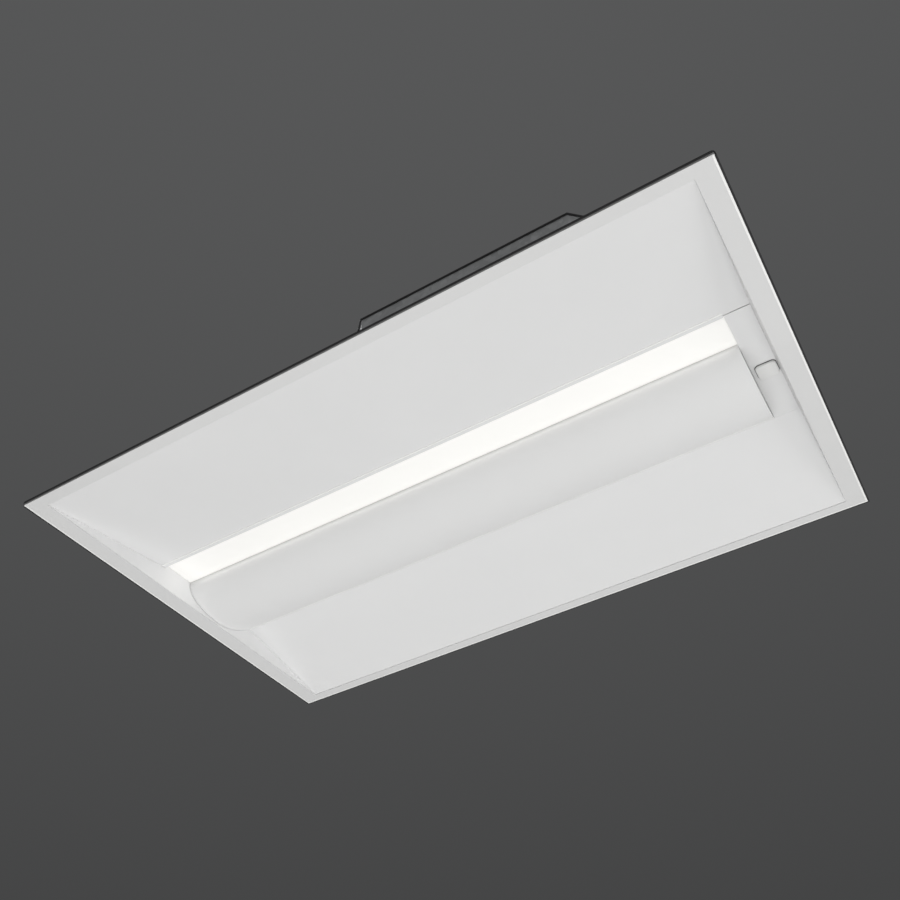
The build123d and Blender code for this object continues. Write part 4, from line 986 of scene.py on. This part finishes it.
@dataclass
class SensorEnd(SubAssembly):
    """Flat plate at the right end, with the small cover of the sensor."""

    left_x: float = 393.8
    near_y: float = -82.2
    z: float = 28.0
    sheet: float = 0.8
    left_fold: float = 4.5
    far_fold: float = 9.0
    bend: float = 0.15
    wall_gap: float = 0.2
    cover_centre: Flat = (411.0, 23.7)
    cover_half: Flat = (12.5, 11.5)
    cover_drop: float = 4.0
    cover_corner: float = 5.0
    neck: float = 8.0
    # black ring round the cover: painted shade for the cover's shadow line
    shade_ring_inside: float = 0.8
    shade_ring_proud: float = 0.5

    def plate(self) -> None:
        """Build the plate with its two folded edges."""
        x, z, t = self.left_x, self.z, self.sheet
        right = HALF_X - self.wall_gap
        outline = ((x, z + self.left_fold), (x, z), (right, z), (right, z + t), (x + t, z + t),
                   (x + t, z + self.left_fold))
        form = Form().solid(Axis.Y, outline, self.near_y, FAR_EDGE)
        form.round_along(Axis.Y, [(x, z)], self.bend, 3)
        form.block((x + t, FAR_EDGE - t, z + t), (right, FAR_EDGE, z + self.far_fold))
        form.lean(1, middle=(x + right) / 2)
        form.finish("sensor_plate_folded", self.finishes, "white_panel", ("sensor_plate",), 0.1)

    def cover(self) -> None:
        """Build the rounded cover with a softly crowned face and its neck through the plate."""
        drop = self.cover_drop
        rows = ((0.5, drop), (0.5, drop - 0.5), (0.0, drop - 0.8), (0.0, 1.3), (0.12, 0.8), (0.45, 0.4),
                (1.1, 0.1), (2.2, 0.0))
        form = Form().dome(self.cover_half, self.cover_corner, self.z - drop, rows, self.cover_centre, 8)
        form.drum(Axis.Z, self.cover_centre, self.z, self.z + self.sheet, self.neck)
        form.finish("sensor_cover_crowned", self.finishes, "sensor_white", ("sensor_cover",))

    def seal(self) -> None:
        """Build the thin black ring round the cover, painted shade for the shadow line at the cover's edge.
        """
        top, low = 0.05, -0.5
        rows = ((self.shade_ring_inside, top), (self.shade_ring_inside, low), (-self.shade_ring_proud, low),
                (-self.shade_ring_proud, top))
        form = Form().dome(self.cover_half, self.cover_corner, self.z, rows, self.cover_centre, 8, True)
        form.finish("sensor_cover_shade_ring", self.finishes, "gasket_foam")

    def make(self) -> None:
        """Build the plate, the cover and the black ring of painted shade round it."""
        self.plate()
        self.cover()
        self.seal()


def pan_head(form: Form, x: float, y: float, seat: float, radius: float = 3.2, sign: int = 1) -> None:
    """Add a domed screw head with a round drive socket.

    Args:
        form: Form to add to.
        x: Place along the light.
        y: Place across the light.
        seat: Height of the face under the head.
        radius: Radius of the head.
        sign: 1 for a head on top of the face, -1 for one below it.
    """
    profile = ((1.0, -0.2), (1.0, 0.5), (0.9, 1.0), (0.68, 1.35), (0.42, 1.5), (0.38, 0.7))
    form.ring([Rim(share * radius, share * radius, seat + sign * height, share * radius, x, y)
               for share, height in profile], 4, closed=False)


@dataclass
class ChannelTop(SubAssembly):
    """Pressed beads, knockouts, louvres and screws on top of the housing channel."""

    bead_half: Flat = (150.0, 4.5)
    bead_xs: Flat = (-170.0, 170.0)
    bead_ys: Flat = (-50.0, 90.0)
    knockouts: tuple[Flat, ...] = ((-375.0, 13.0), (-255.0, 13.0), (375.0, 13.0), (300.0, 13.0))
    knockout_rises: Flat = (0.25, 0.55)
    tab_half: float = 3.0
    tab_ends: Flat = (7.2, 8.6)         # from the knockout's middle
    tab_levels: Flat = (0.3, 0.9)
    louvre_half_x: float = 2.6
    louvre_start: float = -110.0
    louvre_pitch: float = 14.0
    louvre_count: int = 16
    louvre_rows: tuple[Flat, Flat] = ((12.0, 34.0), (50.0, 72.0))
    screw_x: float = 408.0
    screw_ys: Place = (-70.0, 13.0, 96.0)

    def beads(self, form: Form) -> None:
        """Add four long stiffening beads with round ends."""
        rows = ((0.0, -0.3), (0.0, 0.05), (0.7, 0.6), (1.9, 1.0), (3.2, 1.1))
        for x in self.bead_xs:
            for y in self.bead_ys:
                form.dome(self.bead_half, self.bead_half[1] - SHORT_OF_ROUND, HOUSING_TOP, rows, (x, y), 8)

    def knockout_stages(self, form: Form) -> None:
        """Add the two-stage knockouts with their prying tabs."""
        for x, y in self.knockouts:
            for radius, rise in zip(KNOCKOUTS, self.knockout_rises):
                rows = ((0.0, -0.3), (0.0, rise - 0.15), (0.2, rise))
                form.dome((radius, radius), radius, HOUSING_TOP, rows, (x, y), 9)
            form.block(*((x + side * self.tab_half, y + end, HOUSING_TOP + level)
                         for side, end, level in zip((-1, 1), self.tab_ends, self.tab_levels)))

    def louvres(self, form: Form) -> None:
        """Add the louvres over the driver."""
        rows = ((0.0, -0.3), (0.1, 0.3), (0.6, 0.9), (1.5, 1.3), (2.2, 1.4))
        half = self.louvre_half_x
        for index in range(self.louvre_count):
            x = self.louvre_start + index * self.louvre_pitch
            for low, high in self.louvre_rows:
                form.dome((half, (high - low) / 2), half - SHORT_OF_ROUND, HOUSING_TOP, rows,
                          (x, (low + high) / 2), 6)

    def make(self) -> None:
        """Build the pressings and the screws that hold the end walls."""
        form = Form()
        self.beads(form)
        self.knockout_stages(form)
        self.louvres(form)
        form.finish("channel_pressings", self.finishes, "galvanised_steel")
        screws = Form()
        for x in (-self.screw_x, self.screw_x):
            for y in self.screw_ys:
                pan_head(screws, x, y, HOUSING_TOP)
        screws.finish("channel_screws", self.finishes, "fastener_steel")


@dataclass
class WiringBox(SubAssembly):
    """Knockouts of the wiring box and the pressed panel of its lid."""

    left_x: float = 25.0
    left_centre: Flat = (-226.0, 38.0)
    back_y: float = -186.0
    back_centres: tuple[Flat, ...] = ((62.0, 38.0), (120.0, 38.0), (178.0, 38.0))
    rises: Flat = (0.15, 0.30)
    bite: float = 0.4                   # how far a knockout reaches into the box's wall
    lid_centre: Flat = (168.5, -229.0)
    lid_half: Flat = (118.0, 24.0)
    lid_corner: float = 8.0
    lid_top: float = 61.0

    def make(self) -> None:
        """Build the knockouts and the lid's panel."""
        form = Form()
        for radius, rise in zip(KNOCKOUTS, self.rises):
            form.drum(Axis.X, self.left_centre, self.left_x - rise, self.left_x + self.bite, radius, 40)
            for centre in self.back_centres:
                form.drum(Axis.Y, centre, self.back_y - self.bite, self.back_y + rise, radius, 40)
        form.finish("box_knockouts", self.finishes, "galvanised_steel", edge=0.08)
        rows = ((0.0, -0.3), (0.0, 0.02), (0.8, 0.25), (1.8, 0.45), (3.0, 0.5))
        panel = Form().dome(self.lid_half, self.lid_corner, self.lid_top, rows, self.lid_centre, 6)
        panel.finish("lid_pressed_panel", self.finishes, "galvanised_steel", body="box_lid")


@dataclass
class DriverFace(SubAssembly):
    """Cover panel, bare plate and screws on the driver's lower face."""

    centre: Flat = (-5.0, 41.85)
    half: Flat = (115.0, 21.0)
    face_z: float = 35.2
    cover_corner: float = 6.0
    plate_half: Flat = (46.0, 13.0)
    cover_rise: float = 0.5
    plate_corner: float = 2.0
    screw_inset: float = 9.0
    screw_radius: float = 2.4

    def make(self) -> None:
        """Build the cover panel, the plate and the screws."""
        rows = ((3.0, 0.3), (3.0, -0.25), (3.5, -self.cover_rise))
        cover = Form().dome(self.half, self.cover_corner, self.face_z, rows, self.centre, 6)
        cover.finish("driver_cover_panel", self.finishes, "driver_case")
        rows = ((0.0, -0.4), (0.0, -0.7), (0.2, -0.75))
        plate = Form().dome(self.plate_half, self.plate_corner, self.face_z, rows, self.centre, 5)
        plate.finish("driver_bare_plate", self.finishes, "fastener_steel")
        screws = Form()
        for a in (-1, 1):
            for b in (-1, 1):
                x, y = (middle + sign * (half - self.screw_inset)
                        for middle, sign, half in zip(self.centre, (a, b), self.half))
                pan_head(screws, x, y, self.face_z - self.cover_rise, self.screw_radius, -1)
        screws.finish("driver_cover_screws", self.finishes, "fastener_steel")


CORNERS = ("left_near", "left_far", "right_near", "right_far")

# Width of the rounding, in millimetres, on the sharp edges of CAD nodes that stay
NODE_EDGES = {
    0.1: ("door_catches",),
    0.25: ("hinge_brackets", "led_tray", *(f"grid_clip_{corner}" for corner in CORNERS)),
    0.3: ("center_channel", "junction_box_lid", "wire_raceway", "board_connector", "lid_seal", "lever_live",
          "lever_neutral", "lever_earth"),
    0.35: ("junction_box", *(f"hanger_bracket_{corner}" for corner in CORNERS)),
    0.4: ("terminal_block", "tray_spacers", "cable_bushing"),
    0.5: ("driver_input_block", "driver_output_block"),
    1.0: ("led_driver",),
    1.2: ("sensor_module",),
}


def soften_nodes() -> None:
    """Round the sharp edges of the CAD nodes that stay, with modifiers only."""
    for width, names in NODE_EDGES.items():
        for name in names:
            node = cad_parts[name]
            weld = node.modifiers.new("weld", "WELD")
            weld.merge_threshold = 0.01 * MM
            soften(node, width)
            log.info("rounded the edges of %s by %.2f mm", name, width)


# ---------------------------------------------------------------- studio
@dataclass
class Lamp:
    """A soft rectangular lamp."""

    name: str
    place: Place
    aim: Place
    size: Flat
    power: float
    tint: Colour = (1.0, 1.0, 1.0)
    mirrored: bool = True

    def make(self) -> None:
        """Put the lamp up, hidden from the camera."""
        data = bpy.data.lights.new(self.name, "AREA")
        data.shape = "RECTANGLE"
        data.size, data.size_y = self.size
        data.energy = self.power
        data.color = self.tint
        lamp = add_object(self.name, data)
        lamp.location = self.place
        away = Vector(self.aim) - Vector(self.place)
        lamp.rotation_euler = away.to_track_quat("-Z", "Y").to_euler()
        lamp.visible_camera = False
        lamp.visible_glossy = self.mirrored
        log.info("lamp %s", self.name)


@dataclass
class Studio:
    """Pale floor, soft lamps, backdrop tone and the photograph's camera."""

    camera_place: Place = (0.44906, -0.87840, -0.83570)
    camera_turn: Place = (2.329533, 0.041819, 0.545235)
    camera_lens: float = 40.149
    camera_sensor: float = 36.0
    camera_shift: float = 0.02452
    camera_reach: float = 50.0
    floor_z: float = -2.4
    floor_size: float = 40.0
    ambient: float = 0.24
    backdrop: Flat = (0.060, 0.100)
    backdrop_span: Flat = (0.3, 0.95)   # heights of the view between which its tone changes

    def world(self) -> None:
        """Soft light from all round; the camera and reflections see the backdrop's grey."""
        world = bpy.data.worlds.new("soft_room")
        bpy.context.scene.world = world
        world.use_nodes = True
        world.node_tree.nodes.clear()
        graph = Graph(world.node_tree)
        path = graph.add("ShaderNodeLightPath").outputs
        seen = graph.math("MAXIMUM", path["Is Camera Ray"], path["Is Glossy Ray"])
        seen = graph.math("MAXIMUM", seen, path["Is Transmission Ray"])
        way = graph.add("ShaderNodeTexCoord").outputs["Object"]
        height = graph.add("ShaderNodeSeparateXYZ", Vector=way).outputs["Z"]
        tone = graph.fit(height, *self.backdrop_span, *self.backdrop)
        light = graph.add("ShaderNodeBackground", Color=(1.0, 1.0, 1.0), Strength=self.ambient)
        grey = graph.add("ShaderNodeBackground", Color=(0.98, 0.99, 1.0), Strength=tone)
        mix = graph.add("ShaderNodeMixShader")
        for socket, value in zip(mix.inputs, (seen, light.outputs[0], grey.outputs[0])):
            graph.feed(socket, value)
        graph.add("ShaderNodeOutputWorld", Surface=mix.outputs[0])

    def floor(self) -> None:
        """A plain pale floor far below the light."""
        mesh = bmesh.new()
        bmesh.ops.create_grid(mesh, x_segments=1, y_segments=1, size=self.floor_size)
        bmesh.ops.translate(mesh, verts=mesh.verts[:], vec=(0, 0, self.floor_z))
        data = bpy.data.meshes.new("floor")
        mesh.to_mesh(data)
        mesh.free()
        data.materials.append(Finish("pale_floor", (0.74, 0.74, 0.73), 0.7, 0.02, 0.05, 0.02, 0.1).build())
        add_object("floor", data)

    def camera(self) -> None:
        """The photograph's view, from below and to one side."""
        data = bpy.data.cameras.new("photo_view")
        data.lens = self.camera_lens
        data.sensor_width = self.camera_sensor
        data.shift_x = self.camera_shift
        data.clip_end = self.camera_reach
        camera = add_object("photo_view", data)
        camera.location = self.camera_place
        camera.rotation_euler = self.camera_turn
        bpy.context.scene.camera = camera

    def make(self) -> None:
        """Set the stage."""
        bpy.context.scene.view_settings.view_transform = "Standard"
        self.world()
        self.floor()
        self.camera()
        middle = (0.0, 0.0, 0.0)
        for lamp in (Lamp("below", (-0.3, 0.2, -2.2), (-0.3, 0.2, 0.0), (4.0, 4.0), 44.5),
                     Lamp("key", (2.9, 0.6, -1.3), middle, (2.2, 1.8), 26.0),
                     Lamp("lens_glow", (-0.008, -0.0525, 0.0322), (-0.008, -0.0525, -1.0), (0.79, 0.043),
                          0.08, (1.0, 0.99, 0.96), False),
                     Lamp("near_fill", (0.2, -2.5, -1.3), middle, (2.4, 1.4), 8.0),
                     Lamp("upper", (-0.7, 0.9, 2.2), middle, (1.8, 1.4), 34.0),
                     Lamp("upper_right", (1.3, 0.8, 1.8), middle, (1.2, 1.0), 16.0)):
            lamp.make()


def main() -> None:
    """Build the light's pieces in order and report each of them."""
    logging.basicConfig(level=logging.INFO, format="%(message)s")
    Studio().make()
    finishes = Finishes()
    finishes.dress_nodes()
    soften_nodes()
    for assembly in (TrimFrame, SidePanels, EndWalls, HingedReflector, LightEngine, SensorEnd, ChannelTop,
                     WiringBox, DriverFace):
        assembly(finishes).make()
        log.info("made %s", assembly.__name__)


if __name__ == "__main__":
    main()
